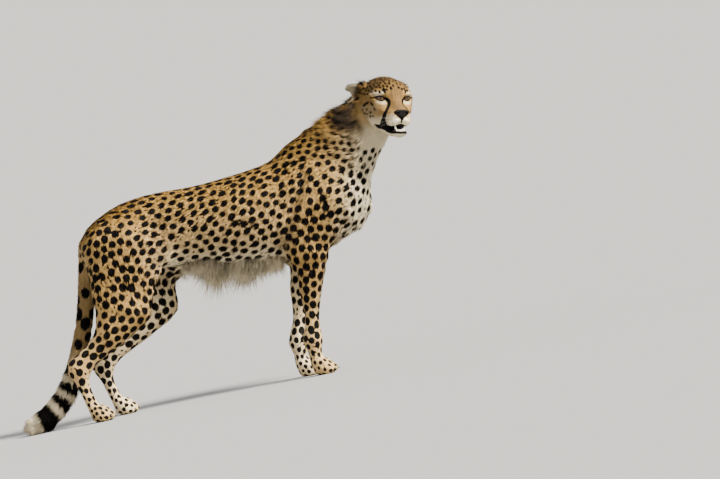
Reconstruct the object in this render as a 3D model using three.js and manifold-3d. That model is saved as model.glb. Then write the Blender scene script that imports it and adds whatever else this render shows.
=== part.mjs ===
// A life-size cheetah standing on its four paws, its weight a little forward, its head
// turned to its right and its mouth a little open. Millimetres, +Z up, +X towards the
// chest, +Y to the animal's left. The floor is z = 0.
//
// The flesh is one smooth field, made of rounded limbs, balls and trunk sections. Each
// sub-part is that field's surface, found by rays from a line inside the sub-part, and
// then parted from its neighbours by flat cuts.

import * as THREE from "three";
import { mergeVertices } from "three/addons/utils/BufferGeometryUtils.js";
import Module from "manifold-3d";

const wasm = await Module();
wasm.setup();

// ---------------------------------------------------------------- driving sizes
const GAP = 0.3; // clear width of every cut between two sub-parts
const MARGIN = 24; // how far a surface is carried past its cut before it is trimmed
const BIG = 3000; // side of a cutting block, larger than the animal
const SOLE_CUT = 2.5; // how much of each pad is cut off flat by the floor

const WITHERS = 740; // height of the top of the shoulders
const HALF_CHEST = 104; // half the width of the rib cage
const EYE = { radius: 17, apart: 41, forward: -13 };

const v = (x, y, z) => new THREE.Vector3(x, y, z);

// ---------------------------------------------------------------- fields
// A field gives about how far a point lies outside a shape, in mm, and is below 0 inside.

// A tapered limb from a to b. flat is its width across (along y) over its depth.
function limb(a, b, ra, rb, flat = 1) {
  const along = b.clone().sub(a);
  const length2 = along.lengthSq();
  const off = v(0, 0, 0);
  return (p) => {
    off.subVectors(p, a);
    const t = THREE.MathUtils.clamp(off.dot(along) / length2, 0, 1);
    off.addScaledVector(along, -t);
    off.y /= flat;
    return (off.length() - ra - (rb - ra) * t) * Math.min(1, flat);
  };
}

// An ellipsoid with radii r, turned by tilt degrees about the y axis, nose up.
function ball(centre, r, tilt = 0) {
  const c = Math.cos(THREE.MathUtils.degToRad(tilt));
  const s = Math.sin(THREE.MathUtils.degToRad(tilt));
  return (p) => {
    const x = p.x - centre.x;
    const y = p.y - centre.y;
    const z = p.z - centre.z;
    const k = Math.hypot((c * x + s * z) / r.x, y / r.y, (c * z - s * x) / r.z);
    return (k - 1) * Math.min(r.x, r.y, r.z);
  };
}

// Joins fields with a fillet of about size k.
function blend(k, fields) {
  return (p) => {
    let d = Infinity;
    for (const field of fields) {
      const e = field(p);
      const h = Math.max(k - Math.abs(d - e), 0) / k;
      d = Math.min(d, e) - (Number.isFinite(d) ? (h * h * k) / 4 : 0);
    }
    return d;
  };
}

// A chain of limbs through points, each point with its own radius and flatness.
const chain = (points, radii, flats = radii.map(() => 1)) => {
  const links = points
    .slice(1)
    .map((b, i) => limb(points[i], b, radii[i], radii[i + 1], (flats[i] + flats[i + 1]) / 2));
  return (p) => Math.min(...links.map((link) => link(p)));
};

// The field on the kept sides of the planes, carried a margin past them.
const within = (field, planes, margin = MARGIN) => (p) =>
  planes.reduce((d, plane) => Math.max(d, -plane.distanceToPoint(p) - margin), field(p));

// A plane through the point, with the kept side along the direction.
const planeAt = (point, direction) =>
  new THREE.Plane().setFromNormalAndCoplanarPoint(direction.clone().normalize(), point);

// A smooth curve through rows [x, a, b, ...], read at any x.
function profile(rows) {
  const slope = rows.map((row, i) => {
    const before = rows[Math.max(i - 1, 0)];
    const after = rows[Math.min(i + 1, rows.length - 1)];
    return row.map((_, k) => (after[k] - before[k]) / (after[0] - before[0]));
  });
  return (x) => {
    let i = rows.findIndex((row) => row[0] > x) - 1;
    if (i < 0) i = x < rows[0][0] ? 0 : rows.length - 2;
    const w = rows[i + 1][0] - rows[i][0];
    const t = THREE.MathUtils.clamp((x - rows[i][0]) / w, 0, 1);
    const t2 = t * t;
    const t3 = t2 * t;
    return rows[i].map(
      (a, k) =>
        a * (2 * t3 - 3 * t2 + 1) +
        rows[i + 1][k] * (3 * t2 - 2 * t3) +
        w * (slope[i][k] * (t3 - 2 * t2 + t) + slope[i + 1][k] * (t3 - t2)),
    );
  };
}

// ---------------------------------------------------------------- solids
// A closed three.js geometry as a solid that can be joined and cut.
function solidOf(geometry) {
  const bare = geometry.clone();
  for (const name of Object.keys(bare.attributes)) {
    if (name !== "position") bare.deleteAttribute(name);
  }
  const merged = mergeVertices(bare, 1e-3);
  const triVerts = new Uint32Array(merged.index.array);
  const mesh = { numProp: 3, vertProperties: merged.attributes.position.array, triVerts };
  const solid = new wasm.Manifold(new wasm.Mesh(mesh));
  if (solid.volume() >= 0) return solid;
  for (let i = 0; i < triVerts.length; i += 3) {
    [triVerts[i + 1], triVerts[i + 2]] = [triVerts[i + 2], triVerts[i + 1]];
  }
  return new wasm.Manifold(new wasm.Mesh(mesh));
}

// A solid as a three.js geometry.
function geometryOf(solid) {
  const mesh = solid.getMesh();
  const geometry = new THREE.BufferGeometry();
  geometry.setAttribute("position", new THREE.BufferAttribute(mesh.vertProperties.slice(), 3));
  geometry.setIndex(new THREE.BufferAttribute(mesh.triVerts.slice(), 1));
  geometry.computeVertexNormals();
  return geometry;
}

// The largest closed surface of a solid, with any sealed hollow filled.
function largest(solid) {
  return solid.decompose().reduce((a, b) => (a.volume() >= b.volume() ? a : b));
}

// What of a solid lies on the kept side of each plane, half a gap clear of it.
const trim = (solid, planes) =>
  planes.reduce(
    (kept, plane) => kept.trimByPlane(plane.normal.toArray(), GAP / 2 - plane.constant),
    solid,
  );

// The block of space on the kept side of all the planes, half a gap larger.
const blockWithin = (planes) =>
  planes.reduce(
    (block, plane) => block.trimByPlane(plane.normal.toArray(), -GAP / 2 - plane.constant),
    solidOf(new THREE.BoxGeometry(BIG, BIG, BIG)),
  );

const union = (solids) => solids.reduce((a, b) => a.add(b));

const STEP = 4; // first coarse step of a ray, mm
// How far along the direction the field ends.
function reach(field, from, direction) {
  const p = v(0, 0, 0);
  const at = (r) => field(p.copy(from).addScaledVector(direction, r));
  let low = 0;
  let high = STEP;
  while (at(high) < 0) {
    low = high;
    high += STEP;
    if (high > 900) throw new Error("a ray never leaves the shape");
  }
  for (let i = 0; i < 18; i++) {
    const mid = (low + high) / 2;
    if (at(mid) < 0) low = mid;
    else high = mid;
  }
  return high;
}

// The surface of a field round a line inside it: rings across the line, and a round cap
// of rings at each end. Rays leave each point of the line squarely. A spread below 1
// sets the rings closer towards the line's end.
function skin(points, field, rings, sides, caps = 3, spread = 1) {
  const path = new THREE.CatmullRomCurve3(points, false, "centripetal");
  const rows = [];
  const across = v(0, 1, 0);
  const addRow = (t, lean) => {
    const tangent = path.getTangentAt(t);
    const side = across.clone().addScaledVector(tangent, -across.dot(tangent)).normalize();
    const other = tangent.clone().cross(side);
    const from = path.getPointAt(t);
    const row = [];
    for (let i = 0; i < sides; i++) {
      const turn = (2 * Math.PI * i) / sides;
      const direction = side
        .clone()
        .multiplyScalar(Math.cos(turn) * Math.cos(lean))
        .addScaledVector(other, Math.sin(turn) * Math.cos(lean))
        .addScaledVector(tangent, Math.sin(lean));
      row.push(from.clone().addScaledVector(direction, reach(field, from, direction)));
    }
    rows.push(row);
  };
  for (let i = caps; i > 0; i--) addRow(0, (-i * Math.PI) / 2 / (caps + 1));
  for (let i = 0; i < rings; i++) addRow((i / (rings - 1)) ** spread, 0);
  for (let i = 1; i <= caps; i++) addRow(1, (i * Math.PI) / 2 / (caps + 1));
  const pole = (t, sign) => {
    const from = path.getPointAt(t);
    const direction = path.getTangentAt(t).multiplyScalar(sign);
    return from.clone().addScaledVector(direction, reach(field, from, direction));
  };
  return closed(rows, pole(0, -1), pole(1, 1));
}

// A closed solid from rows of points, with a point at each end.
function closed(rows, first, last) {
  const sides = rows[0].length;
  const points = [...rows.flat(), first, last];
  const start = points.length - 2;
  const index = [];
  for (let j = 0; j < rows.length - 1; j++) {
    for (let i = 0; i < sides; i++) {
      const k = (i + 1) % sides;
      const a = j * sides + i;
      const b = j * sides + k;
      index.push(a, b, b + sides, a, b + sides, a + sides);
    }
  }
  const top = (rows.length - 1) * sides;
  for (let i = 0; i < sides; i++) {
    const k = (i + 1) % sides;
    index.push(start, k, i, start + 1, top + i, top + k);
  }
  const geometry = new THREE.BufferGeometry().setFromPoints(points);
  geometry.setIndex(index);
  return solidOf(geometry);
}

// A small ellipsoid or cone as a solid, moved into place by a matrix.
const placed = (geometry, matrix) => solidOf(geometry.clone().applyMatrix4(matrix));
function egg(centre, radii, around = 10, down = 7) {
  const matrix = new THREE.Matrix4()
    .makeTranslation(centre.x, centre.y, centre.z)
    .scale(v(radii.x, radii.y, radii.z));
  return placed(new THREE.SphereGeometry(1, around, down), matrix);
}

// A cone from its root to its tip, sunk into what it grows from.
function spike(root, tip, radius, sides = 6) {
  const way = tip.clone().sub(root);
  const geometry = new THREE.ConeGeometry(radius, way.length(), sides);
  const turn = new THREE.Quaternion().setFromUnitVectors(v(0, 1, 0), way.clone().normalize());
  const middle = root.clone().addScaledVector(way, 0.5);
  return placed(geometry, new THREE.Matrix4().compose(middle, turn, v(1, 1, 1)));
}

// Evenly spread numbers from 0 to 1, the same on every run.
function makeRandom(seed) {
  let state = seed;
  return () => {
    state = (state * 1664525 + 1013904223) % 4294967296;
    return state / 4294967296;
  };
}

// A flat lock of hair that tapers to a point. It starts sunk below its root, leaves the
// surface along out, and bends over to its lie, with its breadth along side. Its tip
// stands off the surface by lift.
const LOCK_STEPS = [
  { t: 0, wide: 0.85 },
  { t: 0.42, wide: 1 },
  { t: 0.78, wide: 0.55 },
];
function lock(root, out, lie, side, { length, width, thick, lift, sink }) {
  const foot = root.clone().addScaledVector(out, -sink);
  const tip = root.clone().addScaledVector(lie, length).addScaledVector(out, lift);
  const bend = root.clone().addScaledVector(lie, length * 0.4).addScaledVector(out, lift);
  const path = new THREE.QuadraticBezierCurve3(foot, bend, tip);
  const rows = LOCK_STEPS.map(({ t, wide }) => {
    const at = path.getPoint(t);
    const face = side.clone().cross(path.getTangent(t)).normalize();
    return [
      at.clone().addScaledVector(side, (wide * width) / 2),
      at.clone().addScaledVector(face, (wide * thick) / 2),
      at.clone().addScaledVector(side, (-wide * width) / 2),
      at.clone().addScaledVector(face, (-wide * thick) / 2),
    ];
  });
  return closed(rows, foot, tip);
}

// The point on a field's surface that a ray from inside meets.
const surfaceAt = (field, from, direction) =>
  from.clone().addScaledVector(direction, reach(field, from, direction));

// ---------------------------------------------------------------- the animal's joints
const SIDES = [
  { name: "right", sign: -1 },
  { name: "left", sign: 1 },
];

// Fore limb joints: the left paw stands a little behind the right one.
const fore = {
  right: {
    shoulder: v(222, -66, 505),
    elbow: v(84, -66, 372),
    wrist: v(50, -58, 118),
    knuckle: v(46, -58, 38),
    toe: v(106, -60, 15),
  },
  left: {
    shoulder: v(222, 66, 505),
    elbow: v(66, 66, 372),
    wrist: v(4, 56, 118),
    knuckle: v(-2, 56, 38),
    toe: v(58, 58, 15),
  },
};

// Hind limb joints: the left paw stands a little ahead of the right one.
const hind = {
  right: {
    hip: v(-497, -56, 564),
    flank: [v(-380, -60, 450), v(-450, -74, 345)],
    knee: v(-474, -80, 300),
    hock: v(-676, -76, 172),
    knuckle: v(-656, -76, 38),
    toe: v(-598, -78, 15),
  },
  left: {
    hip: v(-497, 56, 564),
    flank: [v(-326, 58, 440), v(-370, 70, 345)],
    knee: v(-392, 82, 298),
    hock: v(-608, 74, 168),
    knuckle: v(-586, 74, 38),
    toe: v(-528, 76, 15),
  },
};

// ---------------------------------------------------------------- flesh
// Trunk sections: x, top, bottom, half width, and how high up the width is greatest.
const trunkAt = profile([
  [-585, 548, 500, 30, 0.5],
  [-545, 598, 470, 58, 0.5],
  [-480, 640, 452, 76, 0.52],
  [-400, 657, 438, 76, 0.5],
  [-320, 660, 420, 72, 0.5],
  [-250, 657, 408, 0.79 * HALF_CHEST, 0.5],
  [-190, 657, 396, 0.9 * HALF_CHEST, 0.5],
  [-120, 662, 378, HALF_CHEST, 0.5],
  [-50, 668, 373, 1.03 * HALF_CHEST, 0.5],
  [20, 679, 376, HALF_CHEST, 0.48],
  [80, 694, 380, 0.95 * HALF_CHEST, 0.46],
  [140, WITHERS - 26, 384, 0.88 * HALF_CHEST, 0.44],
  [190, WITHERS - 8, 398, 0.8 * HALF_CHEST, 0.42],
  [250, WITHERS - 40, 428, 0.64 * HALF_CHEST, 0.42],
  [305, 640, 480, 0.4 * HALF_CHEST, 0.45],
]);

function trunk(p) {
  const [x, top, bottom, half, wide] = trunkAt(p.x);
  const middle = bottom + wide * (top - bottom);
  const height = p.z > middle ? top - middle : middle - bottom;
  const round = 2.15;
  const e =
    (Math.abs(p.y / half) ** round + Math.abs((p.z - middle) / height) ** round) ** (1 / round);
  return Math.max((e - 1) * Math.min(half, height), Math.abs(p.x - x) - 1);
}

// The flesh of one hind limb, from the haunch down to the top of the paw.
function hindFlesh(side) {
  const { hip, flank, knee, hock, knuckle } = hind[side.name];
  const y = side.sign;
  const ischium = v(-524, y * 52, 520);
  const calf = knee.clone().lerp(hock, 0.36).add(v(-8, 0, 12));
  return [
    ball(v(-492, y * 56, 524), v(84, 46, 90)),
    limb(v(-462, y * 60, 520), knee.clone().add(v(-4, -y * 4, 14)), 62, 40, 0.74),
    limb(hip.clone().add(v(-14, y * 14, -44)), knee.clone().add(v(-66, 0, 12)), 74, 48, 0.62),
    limb(ischium, knee.clone().lerp(hock, 0.4).add(v(-8, 0, 30)), 44, 31, 0.78),
    limb(flank[0], flank[1], 36, 34, 0.5),
    limb(knee, hock, 40, 23, 0.84),
    limb(knee.clone().add(v(-26, 0, 6)), calf, 41, 35, 0.8),
    limb(calf, hock.clone().add(v(-16, 0, 14)), 31, 16, 0.74),
    limb(hock.clone().add(v(-15, 0, 6)), knuckle, 22, 20, 0.95),
    ball(hock.clone().add(v(2, 0, -2)), v(26, 22, 28)),
  ];
}

// The flesh of one fore limb, from the shoulder blade down to the top of the paw.
function foreFlesh(side) {
  const { shoulder, elbow, wrist, knuckle } = fore[side.name];
  const y = side.sign;
  return [
    limb(v(124, y * 40, 672), shoulder.clone().add(v(-18, -y * 6, 20)), 40, 58, 0.64),
    limb(shoulder.clone().add(v(-12, 0, 0)), elbow.clone().add(v(12, 0, 16)), 56, 44, 0.68),
    limb(v(104, y * 62, 560), elbow.clone().add(v(-16, 0, 16)), 58, 33, 0.6),
    limb(elbow.clone().add(v(8, 0, -4)), wrist, 41, 20, 0.84),
    limb(elbow.clone().add(v(16, 0, -30)), elbow.clone().lerp(wrist, 0.42), 38, 28, 0.84),
    ball(wrist.clone().add(v(1, 0, -2)), v(25, 24, 27)),
    limb(wrist, knuckle, 21, 22, 1.08),
    ball(wrist.clone().add(v(-21, y * 3, -8)), v(9, 8, 12)),
  ];
}

// The neck leaves the trunk forward and up, and bends to the right at its top.
const neckLine = [
  [170, 0, 610],
  [255, 0, 662],
  [318, -2, 712],
  [368, -8, 752],
  [410, -20, 784],
].map((p) => v(...p));
const neckFlesh = [chain(neckLine, [128, 118, 96, 80, 70], [0.62, 0.64, 0.68, 0.74, 0.86])];

// The tail hangs behind the thighs and sweeps back above the floor.
const tailLine = [
  [-540, 0, 572],
  [-573, 0, 536],
  [-589, 0, 492],
  [-601, -2, 438],
  [-617, -5, 372],
  [-638, -8, 302],
  [-666, -10, 232],
  [-700, -12, 160],
  [-738, -14, 100],
  [-782, -17, 60],
  [-830, -20, 32],
  [-862, -24, 27],
].map((p) => v(...p));
const tailRadii = [33, 32, 30, 30, 30, 30, 30, 32, 34, 34, 31, 20];
const tailFlesh = chain(tailLine, tailRadii);

const legFlesh = {
  right: { fore: foreFlesh(SIDES[0]), hind: hindFlesh(SIDES[0]) },
  left: { fore: foreFlesh(SIDES[1]), hind: hindFlesh(SIDES[1]) },
};

const chestFlesh = [
  ball(v(226, 0, 535), v(86, 74, 118), 12),
  limb(v(40, 0, 446), v(220, 0, 470), 70, 56, 0.72),
];

const body = blend(34, [
  trunk,
  ...chestFlesh,
  ...neckFlesh,
  ...legFlesh.right.fore,
  ...legFlesh.right.hind,
  ...legFlesh.left.fore,
  ...legFlesh.left.hind,
  chain(tailLine.slice(0, 3), tailRadii),
]);

// ---------------------------------------------------------------- the cuts
// The roof of each leg's share slopes up and out from between the legs, so that the
// haunch and the upper arm go with the leg.
const legCuts = (side) => {
  const y = side.sign;
  return {
    hind: [
      planeAt(v(0, y * 12, 436), v(0, y * 0.86, -0.51)),
      planeAt(v(-338, 0, 400), v(-0.857, 0, -0.515)),
    ],
    fore: [
      planeAt(v(84, y * 16, 376), v(-0.22, y * 0.84, -0.46)),
      planeAt(v(84, y * 16, 376), v(0.4, y * 0.76, -0.48)),
    ],
  };
};
const cuts = { right: legCuts(SIDES[0]), left: legCuts(SIDES[1]) };
const neckCut = planeAt(v(196, 0, 700), v(0.72, 0, 0.69));
const tailCut = planeAt(v(-592, 0, 498), v(-0.5, 0, -0.866));

// Across a joint between two bones, facing down the limb.
function acrossJoint(above, joint, below) {
  const down = joint.clone().sub(above).normalize().add(below.clone().sub(joint).normalize());
  down.y = 0;
  return planeAt(joint, down);
}

// ---------------------------------------------------------------- torso, neck and tail
// The shaggy fringe under the belly: rows of locks that hang down and back, longest
// below the ribs.
const FRINGE = { from: -304, to: 4, stations: 10, rows: [-34, 0, 34], longest: 88 };
function fringe() {
  const random = makeRandom(7);
  const locks = [];
  for (let i = 0; i < FRINGE.stations; i++) {
    const along = i / (FRINGE.stations - 1);
    for (const y of FRINGE.rows) {
      const shift = 14 * Math.sign(y) + 8 * (random() - 0.5);
      const x = THREE.MathUtils.lerp(FRINGE.from, FRINGE.to, along) + shift;
      const out = v(0, y * 0.012, -1).normalize();
      const root = surfaceAt(body, v(x, y * 0.5, 470), out);
      const side = v(1, y * 0.006 * (random() - 0.5), 0).normalize();
      const lie = v(-0.4 - 0.3 * random(), y * 0.002, -0.8).normalize();
      const full = Math.sin(Math.PI * (0.12 + 0.74 * along)) ** 0.8;
      const length = FRINGE.longest * full * (0.7 + 0.3 * random()) * (y ? 0.85 : 1);
      locks.push(lock(root, out, lie, side, { length, width: 44, thick: 8, lift: 0, sink: 12 }));
    }
  }
  return locks;
}

const SHARE_MARGIN = 60; // the same as MARGIN, for the large cuts between torso and legs
function makeTorso() {
  const shares = SIDES.flatMap((side) => Object.values(cuts[side.name]));
  const ends = [neckCut.clone().negate(), tailCut.clone().negate()];
  const belowElbows = planeAt(v(0, 0, 362), v(0, 0, 1));
  const ended = within(body, [...ends, belowElbows]);
  const field = (p) =>
    shares.reduce((d, planes) => {
      const depth = Math.min(...planes.map((plane) => plane.distanceToPoint(p)));
      return Math.max(d, depth - SHARE_MARGIN);
    }, ended(p));
  const line = [
    v(-560, 0, 546),
    v(-500, 0, 556),
    v(-380, 0, 554),
    v(-150, 0, 530),
    v(60, 0, 545),
    v(160, 0, 580),
    v(248, 0, 657),
  ];
  const whole = union([skin(line, field, 24, 26, 3), ...fringe()]);
  const cut = shares.reduce((left, planes) => left.subtract(blockWithin(planes)), whole);
  return largest(trim(cut, ends));
}

// The short mane on the nape and the shoulders: overlapping locks that lie back along
// the neck, with their tips raised.
const MANE = { stations: 4, turns: [-1, -0.5, 0, 0.5, 1], lie: 0.2 };
function mane() {
  const random = makeRandom(11);
  const path = new THREE.CatmullRomCurve3(neckLine);
  const from = (t, turn) => {
    const tangent = path.getTangentAt(t);
    const out = v(0, 0, 1).addScaledVector(tangent, -tangent.z).normalize();
    out.applyAxisAngle(tangent, turn);
    return { out, at: surfaceAt(body, path.getPointAt(t), out) };
  };
  const locks = [];
  for (let i = 0; i < MANE.stations; i++) {
    for (const turn of MANE.turns) {
      const t = 0.36 + (0.52 * (i + 0.5 * random())) / (MANE.stations - 1);
      const angle = turn + 0.25 * (random() - 0.5) + (i % 2 ? 0.2 : -0.2);
      const { out, at } = from(t, angle);
      const lie = from(t - MANE.lie, angle).at.sub(at).normalize();
      const side = out.clone().cross(lie).normalize();
      const length = 62 + 16 * random();
      locks.push(lock(at, out, lie, side, { length, width: 42, thick: 8, lift: 7, sink: 8 }));
    }
  }
  return locks;
}

function makeNeck(head) {
  const line = [v(233, 0, 641), ...neckLine.slice(1)];
  const whole = union([skin(line, within(body, [neckCut]), 9, 20, 2), ...mane()]);
  return largest(trim(whole, [neckCut]).subtract(head));
}

// The tail in three lengths.
const tailCuts = [
  tailCut,
  planeAt(tailLine[5], v(-0.38, 0, -0.92)),
  planeAt(tailLine[8], v(-0.7, 0, -0.7)),
];
const tailSpans = [
  [2, 6],
  [4, 9],
  [7, 12],
];
const floor = planeAt(v(0, 0, -GAP / 2), v(0, 0, 1));

// The bushy end of the tail: rings of locks that lie along it, out past its tip.
const TUFT = { rings: 2, around: 4 };
function tuft() {
  const random = makeRandom(5);
  const path = new THREE.CatmullRomCurve3(tailLine.slice(8));
  const locks = [];
  for (let i = 0; i < TUFT.rings; i++) {
    const t = 0.5 + (0.38 * i) / (TUFT.rings - 1);
    for (let j = 0; j < TUFT.around; j++) {
      const tangent = path.getTangentAt(t);
      const out = v(0, 1, 0).addScaledVector(tangent, -tangent.y).normalize();
      out.applyAxisAngle(tangent, (2 * Math.PI * (j + 0.5 * (i % 2) + 0.3 * random())) / TUFT.around);
      const root = surfaceAt(tailFlesh, path.getPointAt(t), out);
      const side = out.clone().cross(tangent).normalize();
      const shape = { length: 46 + 12 * random(), width: 40, thick: 9, lift: 2, sink: 8 };
      locks.push(lock(root, out, tangent, side, shape));
    }
  }
  return locks;
}

function makeTail(part, grow = 0) {
  const ends = [tailCuts[part]];
  if (part < 2) ends.push(tailCuts[part + 1].clone().negate());
  const field = within((p) => tailFlesh(p) - grow, ends);
  const whole = skin(tailLine.slice(...tailSpans[part]), field, 8, 12);
  if (grow) return whole;
  const pieces = part === 2 ? [whole, ...tuft()] : [whole];
  return largest(trim(union(pieces), [...ends, floor]));
}

// ---------------------------------------------------------------- legs
const TOES = [
  { out: -0.76, ahead: -13, size: 0.94 },
  { out: -0.26, ahead: 0, size: 1 },
  { out: 0.26, ahead: 0, size: 1 },
  { out: 0.76, ahead: -13, size: 0.94 },
];

// A paw: a broad pad below the end of the limb, and four toes with claws, cut flat by
// the floor.
function makePaw(knuckle, toe, width, cut) {
  const base = blend(14, [
    limb(knuckle.clone().add(v(0, 0, 40)), knuckle.clone().add(v(4, 0, -4)), 21, 23, 1.08),
    ball(v(knuckle.x + 12, knuckle.y, 24), v(34, width * 0.47, 24 + SOLE_CUT)),
    ball(v(knuckle.x + 22, knuckle.y, 34), v(26, width * 0.42, 14), -20),
  ]);
  const line = [v(knuckle.x, knuckle.y, 62), v(knuckle.x + 4, knuckle.y, 36), v(knuckle.x + 22, knuckle.y, 22)];
  const pieces = [skin(line, within(base, [cut]), 4, 12, 2)];
  for (const { out, ahead, size } of TOES) {
    const at = v(toe.x - 20 + ahead, toe.y + (out * width) / 2, 16);
    pieces.push(egg(at, v(25 * size, 12 * size, 16 + SOLE_CUT), 8, 5));
    pieces.push(spike(at.clone().add(v(14, 0, 3)), at.clone().add(v(31, 0, -8)), 3.8, 4));
  }
  return largest(trim(union(pieces), [cut, floor]));
}

const PAW_TOP = 54; // height of the cut between a limb and its paw
const pawCut = planeAt(v(0, 0, PAW_TOP), v(0, 0, -1));

function makeForeLeg(side) {
  const { elbow, wrist, knuckle, toe } = fore[side.name];
  const flesh = blend(26, legFlesh[side.name].fore);
  const elbowCut = planeAt(elbow.clone().add(v(0, 0, -22)), v(-0.06, 0, -1));
  const upperEnds = [...cuts[side.name].fore, elbowCut.clone().negate()];
  const upperLine = [v(94, side.sign * 72, 470), elbow.clone().add(v(4, 0, -30))];
  const upper = skin(upperLine, within(body, upperEnds, 40), 8, 20, 4);
  const lowerEnds = [elbowCut, pawCut.clone().negate()];
  const lowerLine = [
    elbow.clone().add(v(6, 0, -8)),
    elbow.clone().lerp(wrist, 0.5),
    wrist,
    knuckle.clone().add(v(0, 0, 4)),
  ];
  const lower = skin(lowerLine, within(flesh, lowerEnds), 11, 16, 2);
  return {
    upper: largest(trim(upper, upperEnds)),
    lower: largest(trim(lower, lowerEnds)),
    paw: makePaw(knuckle, toe, 66, pawCut),
  };
}

function makeHindLeg(side) {
  const { hip, knee, hock, knuckle, toe } = hind[side.name];
  const flesh = blend(26, legFlesh[side.name].hind);
  const kneeCut = acrossJoint(hip, knee, hock);
  const hockCut = acrossJoint(knee, hock, knuckle);
  const thighEnds = [...cuts[side.name].hind, kneeCut.clone().negate()];
  const thighLine = [
    v(-490, side.sign * 60, 510),
    v(-472, side.sign * 68, 420),
    knee.clone().add(v(-44, 0, -6)),
  ];
  const thigh = skin(thighLine, within(body, thighEnds, 40), 9, 20, 4);
  const shankEnds = [kneeCut, hockCut.clone().negate()];
  const shankLine = [knee.clone().add(v(-4, 0, 2)), hock.clone().add(v(-3, 0, -4))];
  const shank = skin(shankLine, within(flesh, shankEnds), 10, 16, 2);
  const footEnds = [hockCut, pawCut.clone().negate()];
  const footLine = [hock.clone().add(v(-3, 0, 2)), knuckle.clone().add(v(0, 0, 2))];
  const foot = skin(footLine, within(flesh, footEnds), 7, 14, 2);
  return {
    thigh: largest(trim(thigh, thighEnds).subtract(makeTail(0, GAP))),
    shank: largest(trim(shank, shankEnds)),
    foot: largest(trim(foot, footEnds)),
    paw: makePaw(knuckle, toe, 62, pawCut),
  };
}

// ---------------------------------------------------------------- head
// The head has its own frame: +X to the nose, +Y to its left, +Z up, with the origin
// midway between the eyes.
const pair = (make) => SIDES.map(({ sign }) => make(sign));

const cheeks = pair((s) => ball(v(-54, s * 34, -64), v(50, 33, 34), -8));
const skullField = blend(14, [
  ball(v(-66, 0, 8), v(76, 66, 57)),
  ball(v(-26, 0, 20), v(44, 53, 32), -20),
  ...pair((s) => ball(v(-52, s * 40, -24), v(52, 38, 42))),
  ...cheeks,
  ...pair((s) => ball(v(-12, s * 40, 17), v(19, 18, 9), -12)),
  ...pair((s) => ball(v(-18, s * 42, 0), v(20, 26, 24))),
  ...pair((s) => ball(v(-8, s * 41, -34), v(27, 20, 19), -14)),
  limb(v(-16, 0, 0), v(36, 0, -42), 26, 17, 0.96),
  ball(v(14, 0, -54), v(40, 36, 33)),
  ...pair((s) => ball(v(34, s * 20, -67), v(26, 19, 24))),
]);
const jawField = blend(14, [
  ...cheeks,
  ball(v(2, 0, -98), v(56, 29, 21), -4),
  ball(v(37, 0, -108), v(18, 20, 14)),
]);

// A bar across the head with the outline [x, z], from side to side.
function acrossBar(outline) {
  const shape = new THREE.Shape(outline.map(([x, z]) => new THREE.Vector2(x, z)));
  const geometry = new THREE.ExtrudeGeometry(shape, { depth: 240, bevelEnabled: false });
  const matrix = new THREE.Matrix4().makeRotationX(Math.PI / 2).setPosition(0, 120, 0);
  return placed(geometry, matrix);
}

// The mouth, from its corner to the front: the upper and the lower lip line.
const upperLip = [
  [-20, -82],
  [-4, -87],
  [18, -92],
  [110, -93],
];
const lowerLip = [
  [-20, -82.4],
  [-4, -93],
  [16, -102],
  [110, -107],
];
const jawBack = [-90, -104];
const below = [
  [110, -190],
  [-90, -190],
];

const eyeCentre = (sign) => v(EYE.forward, sign * EYE.apart, 0);
const gaze = (sign) => v(1, sign * 0.36, -0.04).normalize();

const eyeball = (sign, grow = 0, around = 12) =>
  egg(eyeCentre(sign), v(1, 1, 1).multiplyScalar(EYE.radius + grow), around, 9);

// The hollow the lids lie in.
function socket(sign) {
  const out = gaze(sign);
  const at = eyeCentre(sign).addScaledVector(out, 19);
  const turn = new THREE.Quaternion().setFromUnitVectors(v(1, 0, 0), out);
  const matrix = new THREE.Matrix4().compose(at, turn, v(11, 21, 13));
  return placed(new THREE.SphereGeometry(1, 12, 8), matrix);
}

// The lids: a shell over the eyeball with an almond-shaped slit along the gaze, its outer
// corner higher than its inner one.
const LID = { thick: 2.6, wide: 15, above: 4.4, under: 6.2, slant: 0.14, corners: 12 };
function lids(sign) {
  const outline = [];
  for (let i = 0; i < LID.corners; i++) {
    const a = (2 * Math.PI * i) / LID.corners;
    const wide = LID.wide * Math.cos(a);
    const high = Math.sin(a) * (Math.sin(a) > 0 ? LID.above : LID.under);
    outline.push(new THREE.Vector2(wide, high + wide * sign * LID.slant));
  }
  const slit = new THREE.ExtrudeGeometry(new THREE.Shape(outline), {
    depth: 2 * EYE.radius,
    bevelEnabled: false,
  });
  const out = gaze(sign);
  const side = v(-out.y, out.x, 0).normalize();
  const matrix = new THREE.Matrix4().makeBasis(side, out.clone().cross(side), out);
  return eyeball(sign, LID.thick, 10).subtract(placed(slit, matrix.setPosition(eyeCentre(sign))));
}

// The nose pad, broad above and narrow below, with a nostril on each side.
function makeNose(grow = 0) {
  const outline = [
    [0, 12],
    [12, 12],
    [21, 7],
    [20, 0],
    [10, -8],
    [2.5, -15],
  ];
  const mirrored = outline.slice(1).reverse().map(([y, z]) => [-y, z]);
  const shape = new THREE.Shape(
    [...outline, ...mirrored].map(
      ([y, z]) => new THREE.Vector2(y * (1 + grow / 15), z * (1 + grow / 12)),
    ),
  );
  const geometry = new THREE.ExtrudeGeometry(shape, {
    depth: 14 + 2 * grow,
    bevelThickness: 4,
    bevelSize: 3,
    bevelOffset: -3,
    bevelSegments: 2,
  });
  const matrix = new THREE.Matrix4()
    .makeBasis(v(0, 1, 0), v(-0.14, 0, 0.99), v(0.99, 0, 0.14))
    .setPosition(43 - grow, 0, -53);
  const whole = placed(geometry, matrix);
  if (grow) return whole;
  const nostrils = pair((s) => egg(v(63, s * 12.5, -50), v(8, 4.6, 3.8), 8, 6));
  return largest(nostrils.reduce((left, hole) => left.subtract(hole), whole));
}

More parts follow.
